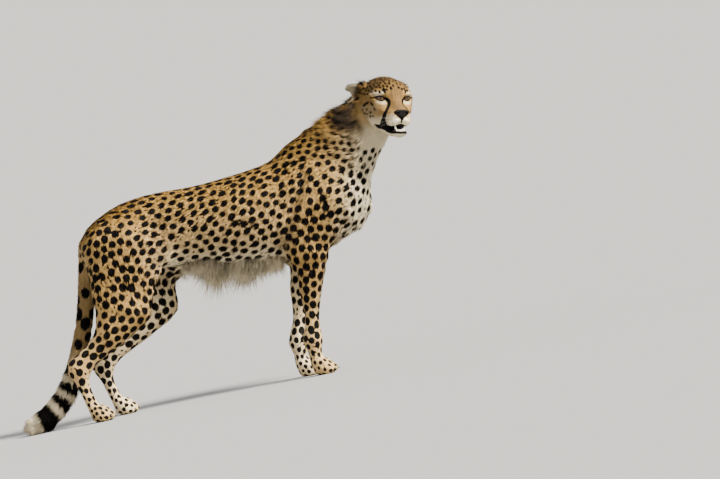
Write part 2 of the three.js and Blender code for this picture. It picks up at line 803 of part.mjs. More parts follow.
// An ear: a short rounded cup on a broad root, laid out and back.
function makeEar(sign, head, grow = 0) {
  const axis = v(-0.38, sign * 0.9, 0.22).normalize();
  const hollow = v(0.66, sign * 0.16, -0.73);
  hollow.addScaledVector(axis, -hollow.dot(axis)).normalize();
  const across = axis.clone().cross(hollow);
  const frame = new THREE.Matrix4()
    .makeBasis(hollow, across, axis)
    .setPosition(-95, sign * 62, 26);
  const wide = v(grow, grow, grow);
  const shell = egg(v(0, 0, 18), v(14, 26, 42).add(wide), 12, 8);
  const root = egg(v(-2, 0, -6), v(20, 30, 26).add(wide), 10, 5);
  const cup = egg(v(13, 0, 24), v(14, 20, 32), 10, 7);
  if (grow) return shell.add(root).transform(frame.elements);
  const whole = shell.add(root).subtract(cup);
  return largest(whole.transform(frame.elements).subtract(head));
}

const makeTongue = (grow = 0) =>
  egg(v(20, 0, -103), v(22 + grow, 12 + grow, 4.5 + grow), 10, 6);

const skullLine = [v(-86, 0, 0), v(-42, 0, -16), v(2, 0, -44), v(28, 0, -54)];
const makeSkull = (grow = 0) => skin(skullLine, (p) => skullField(p) - grow, 14, 28, 3, 0.85);
const jawLine = [v(-74, 0, -74), v(-40, 0, -84), v(6, 0, -98), v(34, 0, -107)];
const makeJawBed = (grow = 0) => skin(jawLine, (p) => jawField(p) - grow, 8, 16, 2);

function makeHead(skull) {
  const mouth = egg(v(18, 0, -94), v(32, 22, 14), 12, 6);
  const behind = (z) => [...below, [jawBack[0], z]];
  const lower = acrossBar([...lowerLip, ...behind(jawBack[1] - 0.4)]);
  const upper = acrossBar([...upperLip, ...behind(jawBack[1])]);
  const canine = (x, y, root, tip) => spike(v(x, y, root), v(x, y, tip), 5.5, 5);
  const lowerTeeth = [
    ...pair((s) => canine(41, s * 12, -112, -96)),
    egg(v(43, 0, -109), v(3.5, 9, 5), 8, 5),
  ];
  const upperTeeth = pair((s) => canine(38, s * 16, -80, -100));
  const bed = makeJawBed().intersect(lower).subtract(mouth);
  const jaw = union([bed, ...lowerTeeth]).subtract(makeTongue(GAP));
  const hollows = union(pair(socket)).add(mouth);
  const bare = skull.subtract(upper).subtract(hollows);
  const eyes = union(pair((s) => eyeball(s, GAP)));
  const cranium = union([bare, ...upperTeeth, ...pair(lids)]).subtract(eyes);
  return { head: largest(cranium.subtract(makeNose(GAP))), jaw: largest(jaw) };
}

// ---------------------------------------------------------------- assembly
const coat = new THREE.MeshStandardMaterial({ color: 0xd9b27a, roughness: 0.85 });
const pale = new THREE.MeshStandardMaterial({ color: 0xe9dcc4, roughness: 0.85 });
const black = new THREE.MeshStandardMaterial({ color: 0x1b1411, roughness: 0.5 });
const amber = new THREE.MeshStandardMaterial({ color: 0x8a5a1e, roughness: 0.1 });
const pink = new THREE.MeshStandardMaterial({ color: 0xb06a66, roughness: 0.45 });

const model = new THREE.Group();
function add(group, name, solid, material) {
  const mesh = new THREE.Mesh(geometryOf(solid), material.clone());
  mesh.name = name;
  group.add(mesh);
}

// Where the head is, and how it is turned: to the right, and tipped to its left.
const headGroup = new THREE.Group();
headGroup.position.set(448, -102, 792);
headGroup.rotation.set(
  THREE.MathUtils.degToRad(-11),
  THREE.MathUtils.degToRad(2),
  THREE.MathUtils.degToRad(-65),
  "ZYX",
);
headGroup.updateMatrix();

const grownSkull = makeSkull(GAP);
const { head, jaw } = makeHead(makeSkull());
add(headGroup, "head", head, coat);
add(headGroup, "jaw", jaw, pale);
add(headGroup, "nose", makeNose(), black);
add(headGroup, "tongue", makeTongue(), pink);
for (const { name, sign } of SIDES) {
  add(headGroup, `eye_${name}`, eyeball(sign), amber);
  add(headGroup, `ear_${name}`, makeEar(sign, grownSkull), coat);
}
model.add(headGroup);

const ears = union(pair((sign) => makeEar(sign, null, GAP)));
const headSpace = grownSkull.add(makeJawBed(GAP)).add(ears).transform(headGroup.matrix.elements);
add(model, "neck", makeNeck(headSpace), coat);
add(model, "torso", makeTorso(), coat);
for (const part of [0, 1, 2]) add(model, `tail_${part + 1}`, makeTail(part), part < 2 ? coat : pale);

for (const side of SIDES) {
  const front = makeForeLeg(side);
  add(model, `foreleg_upper_${side.name}`, front.upper, coat);
  add(model, `foreleg_lower_${side.name}`, front.lower, coat);
  add(model, `forepaw_${side.name}`, front.paw, pale);
  const back = makeHindLeg(side);
  add(model, `thigh_${side.name}`, back.thigh, coat);
  add(model, `shank_${side.name}`, back.shank, coat);
  add(model, `hindfoot_${side.name}`, back.foot, coat);
  add(model, `hindpaw_${side.name}`, back.paw, pale);
}

// The origin is on the floor, below the middle of the whole animal.
const middle = new THREE.Box3().setFromObject(model, true).getCenter(v(0, 0, 0));
model.position.set(-middle.x, -middle.y, 0);

export default model;
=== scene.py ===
"""A life-size still cheetah: one skin over the whole body, a coat of mesh tufts that lies
along it, and eyes, lids, nose, teeth, tongue, whiskers and claws as pieces of their own.
Metres, +Z up, the chest towards +X. Markings are worked out once on the skin, and every
tuft takes those of its root."""

import math

import bpy
import numpy as np
from bpy.props import FloatProperty, FloatVectorProperty, IntProperty, PointerProperty
from mathutils import Euler, Matrix, Vector
from mathutils.bvhtree import BVHTree
from mathutils.kdtree import KDTree


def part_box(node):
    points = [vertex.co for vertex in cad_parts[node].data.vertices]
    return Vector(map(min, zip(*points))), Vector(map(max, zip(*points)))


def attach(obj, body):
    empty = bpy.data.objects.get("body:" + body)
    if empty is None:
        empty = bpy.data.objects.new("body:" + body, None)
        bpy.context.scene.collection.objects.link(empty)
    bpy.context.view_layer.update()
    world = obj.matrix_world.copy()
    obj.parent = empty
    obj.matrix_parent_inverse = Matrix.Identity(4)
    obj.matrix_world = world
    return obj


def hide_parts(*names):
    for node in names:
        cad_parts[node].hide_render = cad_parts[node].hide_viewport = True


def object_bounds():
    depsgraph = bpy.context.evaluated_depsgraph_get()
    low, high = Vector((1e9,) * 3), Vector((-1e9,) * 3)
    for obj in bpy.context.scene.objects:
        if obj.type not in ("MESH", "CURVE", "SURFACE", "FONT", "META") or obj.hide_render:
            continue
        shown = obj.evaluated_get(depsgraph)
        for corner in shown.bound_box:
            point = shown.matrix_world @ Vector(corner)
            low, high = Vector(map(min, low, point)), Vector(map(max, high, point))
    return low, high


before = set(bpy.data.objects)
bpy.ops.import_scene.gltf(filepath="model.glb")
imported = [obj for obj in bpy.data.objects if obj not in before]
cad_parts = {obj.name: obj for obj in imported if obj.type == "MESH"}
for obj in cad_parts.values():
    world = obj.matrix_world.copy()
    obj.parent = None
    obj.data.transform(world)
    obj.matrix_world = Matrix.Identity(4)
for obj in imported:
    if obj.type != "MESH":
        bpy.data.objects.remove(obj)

bl_info = {
    "name": "Cheetah",
    "version": (1, 0, 0),
    "blender": (4, 5, 0),
    "location": "View3D > Sidebar > Cheetah",
    "description": "Builds a life-size still cheetah with its coat and markings",
    "category": "Object",
}

CAD_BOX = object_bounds()
SIDES = {"right": -1, "left": 1}
MM = 0.001
X, Y, Z = 0, 1, 2


# ---------------------------------------------------------------- meshes as arrays
def coords_of(mesh):
    """The places of a mesh's vertices."""
    flat = np.empty(len(mesh.vertices) * 3, np.float32)
    mesh.vertices.foreach_get("co", flat)
    return flat.reshape(-1, 3).astype(float)


def normals_of(mesh):
    """The directions in which a mesh's vertices face."""
    flat = np.empty(len(mesh.vertices) * 3, np.float32)
    mesh.vertex_normals.foreach_get("vector", flat)
    return flat.reshape(-1, 3).astype(float)


def set_coords(mesh, points):
    mesh.vertices.foreach_set("co", points.astype(np.float32).ravel())
    mesh.update()


# ---------------------------------------------------------------- places, from the CAD nodes
def slab(name, axis, share, width=0.1):
    """The middle of a slice of a node, at a share of its length along an axis."""
    points = coords_of(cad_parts[name].data)
    low, high = points[:, axis].min(), points[:, axis].max()
    near = np.abs(points[:, axis] - low - share * (high - low)) < width * (high - low)
    part = points[near]
    return (part.min(0) + part.max(0)) / 2


def box_corners(name):
    return tuple(np.array(corner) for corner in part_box(name))


def centre(name):
    low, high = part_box(name)
    return np.array((low + high) / 2)


# The slices that the middle line of each leg runs through, down from the top: a node and a
# share of its height.
LEG_SLICES = {
    "foreleg": [
        ("foreleg_upper", 0.85), ("foreleg_upper", 0.1), ("foreleg_lower", 0.5),
        ("foreleg_lower", 0.08),
    ],
    "hindleg": [("thigh", 0.8), ("thigh", 0.1), ("shank", 0.6), ("shank", 0.1), ("hindfoot", 0.3)],
}
LEG_RADIUS = {"foreleg": 0.048, "hindleg": 0.06}
LEGS = [f"{leg}_{side}" for leg in LEG_SLICES for side in SIDES]
LEG_SIDE = {name: SIDES[name.split("_")[1]] for name in LEGS}


def leg_line(leg, side):
    """The middle line of a leg, down to its paw and on to its toes."""
    paw = f"{leg[:4]}paw_{side}"
    low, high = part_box(paw)
    middle = centre(paw)
    line = [slab(f"{node}_{side}", Z, share) for node, share in LEG_SLICES[leg]]
    return line + [middle, np.array([high.x, middle[Y], low.z])]


TAIL_SLICES = [
    ("tail_1", Z, 0.95), ("tail_1", Z, 0.1), ("tail_2", Z, 0.6), ("tail_2", Z, 0.15),
    ("tail_3", X, 0.8), ("tail_3", X, 0.4), ("tail_3", X, 0.02),
]
TAIL = [slab(*place) for place in TAIL_SLICES]
TRUNK = [slab("torso", X, share) for share in (0.9, 0.72, 0.55, 0.38, 0.2, 0.04)]
NECK = [slab("neck", X, share) for share in (0.8, 0.5, 0.2)]

# The head's own frame: +X to the nose, +Y to its left, the origin between the eyes.
HEAD_TURN = Euler([math.radians(a) for a in (-11, 2, -65)], "XYZ").to_matrix()
EYE_BACK = 13 * MM  # how far the eyeballs' centres lie behind the head's origin
EYES = {side: Vector(centre(f"eye_{side}")) for side in SIDES}
HEAD_ORIGIN = (EYES["right"] + EYES["left"]) / 2 + HEAD_TURN @ Vector((EYE_BACK, 0, 0))
EYE_RADIUS = (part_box("eye_right")[1].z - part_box("eye_right")[0].z) / 2


def from_head(x, y, z):
    """A place given in the head's frame, in millimetres."""
    return HEAD_ORIGIN + HEAD_TURN @ Vector((x * MM, y * MM, z * MM))


def to_head(points):
    """Places in the head's frame, in millimetres."""
    return (points - np.array(HEAD_ORIGIN)) @ np.array(HEAD_TURN) / MM


def folded(head):
    """Places in the head's frame as X, Y and Z, its right side folded over to its left."""
    x, y, z = head.T
    return x, np.abs(y), z


def reach(head, place, radii=1):
    """How far places in the head's frame lie from one of them, over the radii round it."""
    return np.linalg.norm((head - place) / radii, axis=1)


# Places in the head's frame, in millimetres, that markings and hair are measured from.
SKULL = (-40, 0, -20)
FACE = (-10, 0, -30)
MUZZLE = (20, 0, -40)
NOSE_FRONT = (40, 0, -60)
NOSE_TIP = from_head(58, 0, -56)
WHITE_MUZZLE, WHITE_MUZZLE_RADII = (46, 0, -84), (34, 44, 24)
MOUTH, MOUTH_RADII = (18, 0, -94), (32, 22, 14)
MOUTH_EDGE = 1.15  # where the mouth's hollow ends, over these radii

# Lines along the middle of each part, in the direction the hair lies, and about how
# thick the part is round them.
HEAD = [np.array(from_head(*p)) for p in ((40, 0, -62), (0, 0, -30), (-70, 0, -10))]
CHAINS = {
    "trunk": (TRUNK, 0.1),
    "neck": (NECK, 0.085),
    "head": (HEAD, 0.075),
    "tail": (TAIL, 0.032),
}
CHAINS.update({
    f"{leg}_{side}": (leg_line(leg, side), LEG_RADIUS[leg]) for leg in LEG_SLICES for side in SIDES
})
CHAIN_NAMES = list(CHAINS)


# ---------------------------------------------------------------- sums on arrays
def unit(vectors):
    length = np.linalg.norm(vectors, axis=-1, keepdims=True)
    return vectors / np.maximum(length, 1e-9)


def ease(low, high, values):
    """0 at low, 1 at high, smooth between. low may lie above high."""
    t = np.clip((values - low) / (high - low), 0, 1)
    return t * t * (3 - 2 * t)


def along_chain(points, chain):
    """For each point: how far it is from the chain, the length along it, its direction."""
    count = len(points)
    distance = np.full(count, np.inf)
    length = np.zeros(count)
    direction = np.zeros((count, 3))
    run = 0.0
    for start, end in zip(chain[:-1], chain[1:]):
        way = end - start
        span = np.linalg.norm(way)
        share = np.clip((points - start) @ way / span**2, 0, 1)
        gap = np.linalg.norm(points - start - share[:, None] * way, axis=1)
        closer = gap < distance
        distance[closer] = gap[closer]
        length[closer] = run + share[closer] * span
        direction[closer] = way / span
        run += span
    return distance, length, direction


def chain_spans(chain):
    return [np.linalg.norm(b - a) for a, b in zip(chain[:-1], chain[1:])]


def chain_length(chain):
    return sum(chain_spans(chain))


# ---------------------------------------------------------------- work on objects
def select_only(obj):
    for other in bpy.context.selected_objects:
        other.select_set(False)
    obj.select_set(True)
    bpy.context.view_layer.objects.active = obj


def modify(obj, kind, **settings):
    """Adds a modifier with these settings to an object and applies it."""
    modifier = obj.modifiers.new(kind.lower(), kind)
    for key, value in settings.items():
        setattr(modifier, key, value)
    select_only(obj)
    bpy.ops.object.modifier_apply(modifier=modifier.name)


def edit_whole(obj, action, **settings):
    """Applies an edit mode operator to all of an object."""
    select_only(obj)
    bpy.ops.object.mode_set(mode="EDIT")
    bpy.ops.mesh.select_all(action="SELECT")
    action(**settings)
    bpy.ops.object.mode_set(mode="OBJECT")


def outward(obj):
    edit_whole(obj, bpy.ops.mesh.normals_make_consistent, inside=False)
    return obj


def rename(obj, name):
    obj.name = obj.data.name = name
    return obj


def add_object(name, data):
    obj = bpy.data.objects.new(name, data)
    bpy.context.scene.collection.objects.link(obj)
    return obj


def new_object(name, vertices, faces):
    """An object from lists of vertices and faces."""
    mesh = bpy.data.meshes.new(name)
    mesh.from_pydata([tuple(v) for v in vertices], [], [tuple(f) for f in faces])
    return add_object(name, mesh)


def merged_copy(node, swell):
    """A copy of a CAD node with its doubles merged, grown by swell."""
    obj = add_object(f"copy_{node}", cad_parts[node].data.copy())
    edit_whole(obj, bpy.ops.mesh.remove_doubles, threshold=0.01 * MM)
    modify(obj, "DISPLACE", strength=swell, mid_level=0)
    return obj


def join(objects, name):
    select_only(objects[0])
    for obj in objects[1:]:
        obj.select_set(True)
    bpy.ops.object.join()
    return rename(bpy.context.view_layer.objects.active, name)


def remesh(obj, size):
    modify(obj, "REMESH", mode="VOXEL", voxel_size=size)


def smooth(obj, steps, group="", factor=0.5):
    modify(obj, "SMOOTH", factor=factor, iterations=steps, vertex_group=group)


def set_group(obj, name, weights):
    """A vertex group from an array of weights, in steps of a tenth."""
    group = obj.vertex_groups.new(name=name)
    steps = np.round(np.clip(weights, 0, 1) * 10).astype(int)
    for step in range(1, 11):
        chosen = np.nonzero(steps == step)[0]
        if len(chosen):
            group.add(chosen.tolist(), step / 10, "REPLACE")


def finish_piece(obj, material, nodes=()):
    """Gives a piece its material, slot and body, and hides the nodes that it stands for."""
    obj.data.materials.clear()
    obj.data.materials.append(material)
    obj.data.shade_smooth()
    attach(obj, "root")
    if nodes:
        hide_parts(*nodes)


# ---------------------------------------------------------------- properties
def paint(name, description, default):
    """A colour for the panel."""
    return FloatVectorProperty(
        name=name, description=description, subtype="COLOR", size=3, min=0, max=1, default=default,
    )


def hair(name, description, default, low, high):
    """A length of hair for the panel, in metres."""
    return FloatProperty(
        name=name, description=description, subtype="DISTANCE", default=default, min=low, max=high,
    )


class CheetahColours(bpy.types.PropertyGroup):
    """The colours of the coat and of the eyes."""

    tawny: paint("Tawny", "Flanks and legs", (0.405, 0.235, 0.061))
    warm: paint("Warm", "Back, nape and forehead", (0.122, 0.059, 0.0075))
    pale: paint("Pale", "Belly, chest, chin and inner legs", (0.93, 0.80, 0.54))
    black: paint("Black", "Spots, rings and tear lines", (0.0014, 0.0007, 0.0006))
    # The mantle colour is also painted as shade: in the hollows and folds, on the tail, on the
    # belly fringe and behind the head.
    mantle: paint("Mantle", "Grey-brown hair on the nape", (0.036, 0.025, 0.016))
    iris: paint("Iris", "Darker colour of the eyes", (0.031, 0.018, 0.006))


class CheetahCoat(bpy.types.PropertyGroup):
    """How long and how dense the coat is."""

    body_length: hair("Body hair", "Length of a tuft on the flanks", 0.0135, 0.004, 0.05)
    face_length: hair("Face hair", "Length of a tuft on the muzzle", 0.0042, 0.002, 0.02)
    fringe_length: hair("Belly fringe", "Length of its longest locks", 0.070, 0.01, 0.12)
    density: FloatProperty(
        name="Density", description="Share of the full number of tufts",
        subtype="FACTOR", default=1.0, min=0.05, max=1.0,
    )
    seed: IntProperty(
        name="Seed", description="Where the random draws start", default=3, min=0,
    )


def colours():
    return bpy.context.scene.cheetah_colours


def coat():
    return bpy.context.scene.cheetah_coat


# ---------------------------------------------------------------- skin
LIMB_NODES = ("foreleg_upper", "foreleg_lower", "forepaw", "thigh", "shank", "hindfoot", "hindpaw")
FLESH = ["head", "jaw", "neck", "torso", "tail_1", "tail_2", "tail_3", "ear_right", "ear_left"]
FLESH += [f"{node}_{side}" for side in SIDES for node in LIMB_NODES]
SWELL = 0.5 * MM  # how much each node grows, so that neighbours run together
ROUGH_VOXEL = 4.5 * MM
FINE_VOXEL = 2.3 * MM
SKIN_VOXEL = 5.9 * MM

# Locks of the solids that the skin leaves out: the node they are on, and what is thinner
# than this many millimetres there.
LOCKS = (("torso", 16), ("neck", 17), ("tail_3", 17))
FRINGE_ZONE = 0.10  # metres above the lowest lock of the belly
LOCK_ROUNDS = 400

# How often the body alone is smoothed, and then all of the skin.
BODY_ROUNDS, SKIN_ROUNDS = 60, 7
# How far from its middle the face has smaller faces, and the muzzle the smallest, mm.
FACE_REACH, MUZZLE_REACH = 128, 92


class Skin:
    """The finished skin as arrays, for what grows on it."""

    obj = None
    points = None
    normals = None
    triangles = None
    pairs = None
    flow = None
    region = None
    length = None
    mark = None
    shade = None
    tree = None


def edge_pairs(mesh):
    pairs = np.empty(len(mesh.edges) * 2, np.int32)
    mesh.edges.foreach_get("vertices", pairs)
    return pairs.reshape(-1, 2)


def both_ways(pairs):
    """The ends of all edges, and the other end of each."""
    return np.concatenate([pairs, pairs[:, ::-1]]).T


def spread(values, pairs, count, steps):
    """Averages values over neighbours, so many times."""
    ends, others = both_ways(pairs)
    total = np.maximum(np.bincount(ends, minlength=count), 1)
    columns = values.reshape(count, -1)
    for _ in range(steps):
        sums = [np.bincount(ends, column[others], count) for column in columns.T]
        columns = np.stack(sums, 1) / total[:, None]
    return columns.reshape(values.shape)


def blotches(random, steps):
    """Random values round 0 at the skin's points, averaged over neighbours so many times."""
    count = len(Skin.points)
    return spread(random.normal(0, 1, count), Skin.pairs, count, steps)


def surface_tree(obj):
    return BVHTree.FromObject(obj, bpy.context.evaluated_depsgraph_get())


def flatten_locks(obj):
    """Draws thin locks on the belly, nape and tail end back to the body below them."""
    points = coords_of(obj.data)
    normals = normals_of(obj.data)
    thin = np.zeros(len(points), bool)
    tree = surface_tree(obj)
    for node, most in LOCKS:
        low, high = box_corners(node)
        inside = ((points > low) & (points < high)).all(1)
        if node == "torso":
            inside &= points[:, Z] < low[Z] + FRINGE_ZONE
        for i in np.nonzero(inside)[0]:
            inward = Vector(-normals[i])
            hit = tree.ray_cast(Vector(points[i]) + inward * MM, inward, most * MM)
            thin[i] = hit[0] is not None
    pairs = edge_pairs(obj.data)
    thin = spread(thin.astype(float), pairs, len(points), 2) > 0.12
    ends, others = both_ways(pairs[thin[pairs].any(1)])
    total = np.maximum(np.bincount(ends, minlength=len(points)), 1)
    for _ in range(LOCK_ROUNDS):
        for k in range(3):
            mean = np.bincount(ends, points[others, k], len(points)) / total
            points[thin, k] = mean[thin]
    set_coords(obj.data, points)


def refine(obj, chosen):
    """Halves the faces that have all their corners chosen."""
    select_only(obj)
    bpy.ops.object.mode_set(mode="EDIT")
    bpy.ops.mesh.select_mode(type="FACE")
    bpy.ops.mesh.select_all(action="DESELECT")
    bpy.ops.object.mode_set(mode="OBJECT")
    mesh = obj.data
    corners = np.empty(len(mesh.loops), np.int32)
    mesh.loops.foreach_get("vertex_index", corners)
    starts = np.empty(len(mesh.polygons), np.int32)
    mesh.polygons.foreach_get("loop_start", starts)
    whole = np.minimum.reduceat(chosen[corners].astype(int), starts) > 0
    mesh.polygons.foreach_set("select", whole)
    bpy.ops.object.mode_set(mode="EDIT")
    bpy.ops.mesh.subdivide(number_cuts=1, quadcorner="INNERVERT", ngon=False)
    bpy.ops.mesh.select_all(action="DESELECT")
    bpy.ops.mesh.select_mode(type="VERT")
    bpy.ops.object.mode_set(mode="OBJECT")


def build_skin():
    """All flesh in one closed surface of even faces, finer on the head and finest on the
    face, so that the markings are as sharp everywhere as they need to be."""
    nodes = FLESH + ["nose", "eye_right", "eye_left"]
    detail = join([merged_copy(node, SWELL) for node in nodes], "detail")
    remesh(detail, ROUGH_VOXEL)
    flatten_locks(detail)
    remesh(detail, FINE_VOXEL)
    points = coords_of(detail.data)
    fine = ease(150, 110, reach(to_head(points), FACE))
    paws = ease(0.075, 0.05, points[:, Z]) * (points[:, X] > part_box("tail_2")[0].x + 0.08)
    set_group(detail, "body", 1 - np.maximum(fine, paws))
    smooth(detail, BODY_ROUNDS, "body")
    smooth(detail, SKIN_ROUNDS)
    detail.vertex_groups.clear()
    skin = rename(add_object("skin", detail.data.copy()), "skin")
    remesh(skin, SKIN_VOXEL)
    refine(skin, reach(to_head(coords_of(skin.data)), FACE) < FACE_REACH)
    head = to_head(coords_of(skin.data))
    refine(skin, (reach(head, MUZZLE) < MUZZLE_REACH) & (head[:, X] > -28))
    modify(skin, "SHRINKWRAP", target=detail)
    smooth(skin, 2, factor=0.4)
    modify(skin, "TRIANGULATE", quad_method="SHORTEST_DIAGONAL")
    bpy.data.objects.remove(detail)
    return skin


def read_skin(obj):
    """Keeps the skin's arrays, with the lie of the hair and the part each point is on."""
    mesh = obj.data
    count = len(mesh.vertices)
    Skin.obj = obj
    Skin.points = coords_of(mesh)
    Skin.normals = unit(normals_of(mesh))
    triangles = np.empty(len(mesh.polygons) * 3, np.int32)
    mesh.polygons.foreach_get("vertices", triangles)
    Skin.triangles = triangles.reshape(-1, 3)
    Skin.pairs = edge_pairs(mesh)
    near = np.empty((len(CHAIN_NAMES), count))
    flow = np.zeros((count, 3))
    lengths = np.empty_like(near)
    down_flank = np.zeros((count, 3))
    down_flank[:, Z] = -0.55 * np.abs(Skin.normals[:, Y])
    for k, name in enumerate(CHAIN_NAMES):
        chain, radius = CHAINS[name]
        distance, lengths[k], direction = along_chain(Skin.points, chain)
        near[k] = distance / radius
        if name == "head":
            direction = unit(Skin.points - np.array(NOSE_TIP))
        if name == "trunk":
            direction = direction + down_flank
        flow += direction / np.maximum(near[k], 0.05)[:, None] ** 5
    Skin.region = near.argmin(0)
    Skin.length = np.take_along_axis(lengths, Skin.region[None], 0)[0]
    flow = unit(flow)
    flow -= (flow * Skin.normals).sum(1)[:, None] * Skin.normals
    flow = spread(unit(flow), Skin.pairs, count, 6)
    flow -= (flow * Skin.normals).sum(1)[:, None] * Skin.normals
    Skin.flow = unit(flow)
    Skin.tree = surface_tree(obj)


def on(*names):
    """Which of the skin's points are on these parts."""
    return np.isin(Skin.region, [CHAIN_NAMES.index(name) for name in names])


def by_part(table):
    """A value for each of the skin's points, from a table by part."""
    return np.array([table[name] for name in CHAIN_NAMES])[Skin.region]


def to_tail_tip():
    """How far each of the skin's points is from the tail's tip, along the tail."""
    return chain_length(TAIL) - Skin.length


# ---------------------------------------------------------------- markings
FAR = 30.0  # millimetres: clear of every spot and line

# Spots: the least distance between two of them on each part, in metres.
SPACING = {"trunk": 0.0196, "neck": 0.0176, "head": 0.0092, "tail": 0.032}
SPACING.update({name: 0.0220 for name in LEGS})
# A spot's half width over that distance, and the most that it is longer than wide.
SPOT_SHARE = {"trunk": 0.485, "neck": 0.46, "head": 0.42, "tail": 0.52}
SPOT_SHARE.update({name: 0.52 for name in LEGS})
STRETCH = {"trunk": 1.45, "neck": 1.2, "head": 1.3, "tail": 1.15}
STRETCH.update({name: 1.18 for name in LEGS})
# How large spots are over their part's size, and the small ones in the gaps between them.
SPOT_SIZES, DOT_SIZES = (0.86, 1.04), (0.20, 0.34)
# Over the spacing: the gap that spots settle to, the least one that stays, how far a small
# one is from the large ones and how far from each other.
EVEN_GAP, LEAST_GAP, DOT_GAP, DOT_SPACING = 1.27, 1.13, 0.98, 0.55
# The white tip of the tail, the last ring, the other rings and the gaps between them.
RINGS = {"tip": 0.062, "last": 0.055, "band": 0.030, "gap": 0.021, "count": 3}
RINGED = RINGS["tip"] + RINGS["last"] + RINGS["count"] * (RINGS["band"] + RINGS["gap"])

# Black strokes on the head's left side, drawn on both sides: places in the head's frame,
# each with the stroke's half width there, in millimetres.
STROKES = [
    # the tear line, from the eye to the corner of the mouth
    [(5, 32, 1, 3.2), (9, 27, -3, 4.4), (12, 23, -10, 4.8), (15, 23, -19, 4.5), (19, 28, -28, 4.0),
     (22, 34, -38, 4.0), (21, 38, -47, 5.0), (16, 39, -56, 6.6), (8, 38, -65, 8.2),
     (0, 36, -74, 9.6), (-6, 34, -81, 10.5), (-12, 34, -86, 9.5)],
    # the line behind the outer corner of the eye, and the short one on the brow
    [(-5, 56, 3, 2.8), (-10, 64, 2, 2.2), (-20, 69, 1, 1.4)],
    [(1, 35, 31, 1.6), (7, 36, 25, 3.6), (11, 35, 17, 2.8)],
    # the cheek
    [(-52, 76, -20, 3.4), (-40, 75, -16, 3.8), (-30, 72, -12, 2.8)],
    [(-18, 69, -14, 2.6), (-12, 66, -21, 3.0)],
    [(-79, 77, -37, 3.6), (-71, 74, -33, 3.2)],
    [(-38, 74, -33, 3.2)],
    [(-56, 76, -31, 3.0)],
    [(-27, 68, -43, 3.4)],
    [(-9, 64, -30, 2.0), (-6, 62, -36, 2.4)],
    [(-79, 79, -45, 3.2), (-73, 75, -49, 3.8), (-63, 70, -47, 3.0)],
    [(-32, 66, -55, 3.6)],
    [(-48, 70, -58, 3.0)],
    [(-73, 67, -61, 3.0)],
    [(-54, 72, -44, 3.2)],
    [(-42, 71, -47, 2.6)],
    [(-62, 74, -38, 2.6)],
    [(-20, 66, -56, 2.4)],
]
# The line from the nose down to the upper lip.
LIP_LINE = [(62, 0, -66, 2.0), (60, 0, -76, 1.5), (56, 0, -86, 1.5)]
# Where whiskers grow: rows of small dark dots on the left of the muzzle.
WHISKER_ROWS = [(42, 22, -68), (44, 24, -75), (42, 24, -82)]
# The lips' edges, as X and Z.
UPPER_LIP = [(-22, -82), (-4, -87), (18, -91), (80, -92)]
LOWER_LIP = [(-22, -82), (-4, -92), (16, -99), (80, -104)]


def lip_height(line, x):
    return np.interp(x, *zip(*line))


SCATTER_DRAWS = 110000
CELL = 0.05  # metres, more than any spacing


def scatter(random, spacing, stretch, allowed):
    """Places on the skin at least a spacing apart, and more along the hair by stretch.

    They are kept as triangles and shares of their corners."""
    picks, shares = roots(random, SCATTER_DRAWS, allowed.astype(float))
    places = face_values(Skin.points, picks, shares)
    flow = unit(face_values(Skin.flow, picks, shares))
    near = face_values(spacing, picks, shares) ** 2
    squash = 1 - 1 / face_values(stretch, picks, shares) ** 2
    cell = np.floor(places / CELL).astype(int)
    kept = {}
    chosen = []
    for i in range(SCATTER_DRAWS):
        x, y, z = cell[i]
        others = [
            k
            for a in (x - 1, x, x + 1)
            for b in (y - 1, y, y + 1)
            for c in (z - 1, z, z + 1)
            for k in kept.get((a, b, c), ())
        ]
        if others:
            away = places[others] - places[i]
            along = away @ flow[i]
            if ((away**2).sum(1) - along**2 * squash[i]).min() < near[i]:
                continue
        kept.setdefault((x, y, z), []).append(i)
        chosen.append(i)
    return picks[chosen], shares[chosen]


def settle(picks, shares, spacing, stretch, rounds=12):
    """Evens out the gaps between such places, which stay on the skin."""
    for _ in range(rounds):
        places = face_values(Skin.points, picks, shares)
        flow = unit(face_values(Skin.flow, picks, shares))[:, None]
        wanted = EVEN_GAP * face_values(spacing, picks, shares)[:, None]
        longer = face_values(stretch, picks, shares)[:, None]
        tree = tree_of(places)
        near = np.array([[hit[1] for hit in tree.find_n(p, 9)[1:]] for p in places])
        away = places[:, None] - places[near]
        away -= flow * ((away * flow).sum(2) * (1 - 1 / longer))[..., None]
        gap = np.maximum(np.linalg.norm(away, axis=2), 1e-5)
        push = 0.3 * np.clip(wanted - gap, 0, None) / gap
        picks, shares = sample(places + (away * push[..., None]).sum(1))
    return thin_out(picks, shares, spacing, stretch)


def thin_out(picks, shares, spacing, stretch):
    """Drops places that came closer to a kept one than the least gap."""
    places = face_values(Skin.points, picks, shares)
    flow = unit(face_values(Skin.flow, picks, shares))
    wanted = LEAST_GAP * face_values(spacing, picks, shares)
    squash = 1 - 1 / face_values(stretch, picks, shares) ** 2
    tree = tree_of(places)
    kept = np.ones(len(places), bool)
    for k, place in enumerate(places):
        for _, other, _ in tree.find_n(place, 9)[1:]:
            away = places[other] - place
            gap = math.sqrt(max(away @ away - (away @ flow[k]) ** 2 * squash[k], 0))
            kept[k] &= not (other < k and kept[other] and gap < wanted[k])
    return picks[kept], shares[kept]


def tree_of(places):
    tree = KDTree(len(places))
    for k, place in enumerate(places):
        tree.insert(place, k)
    tree.balance()
    return tree


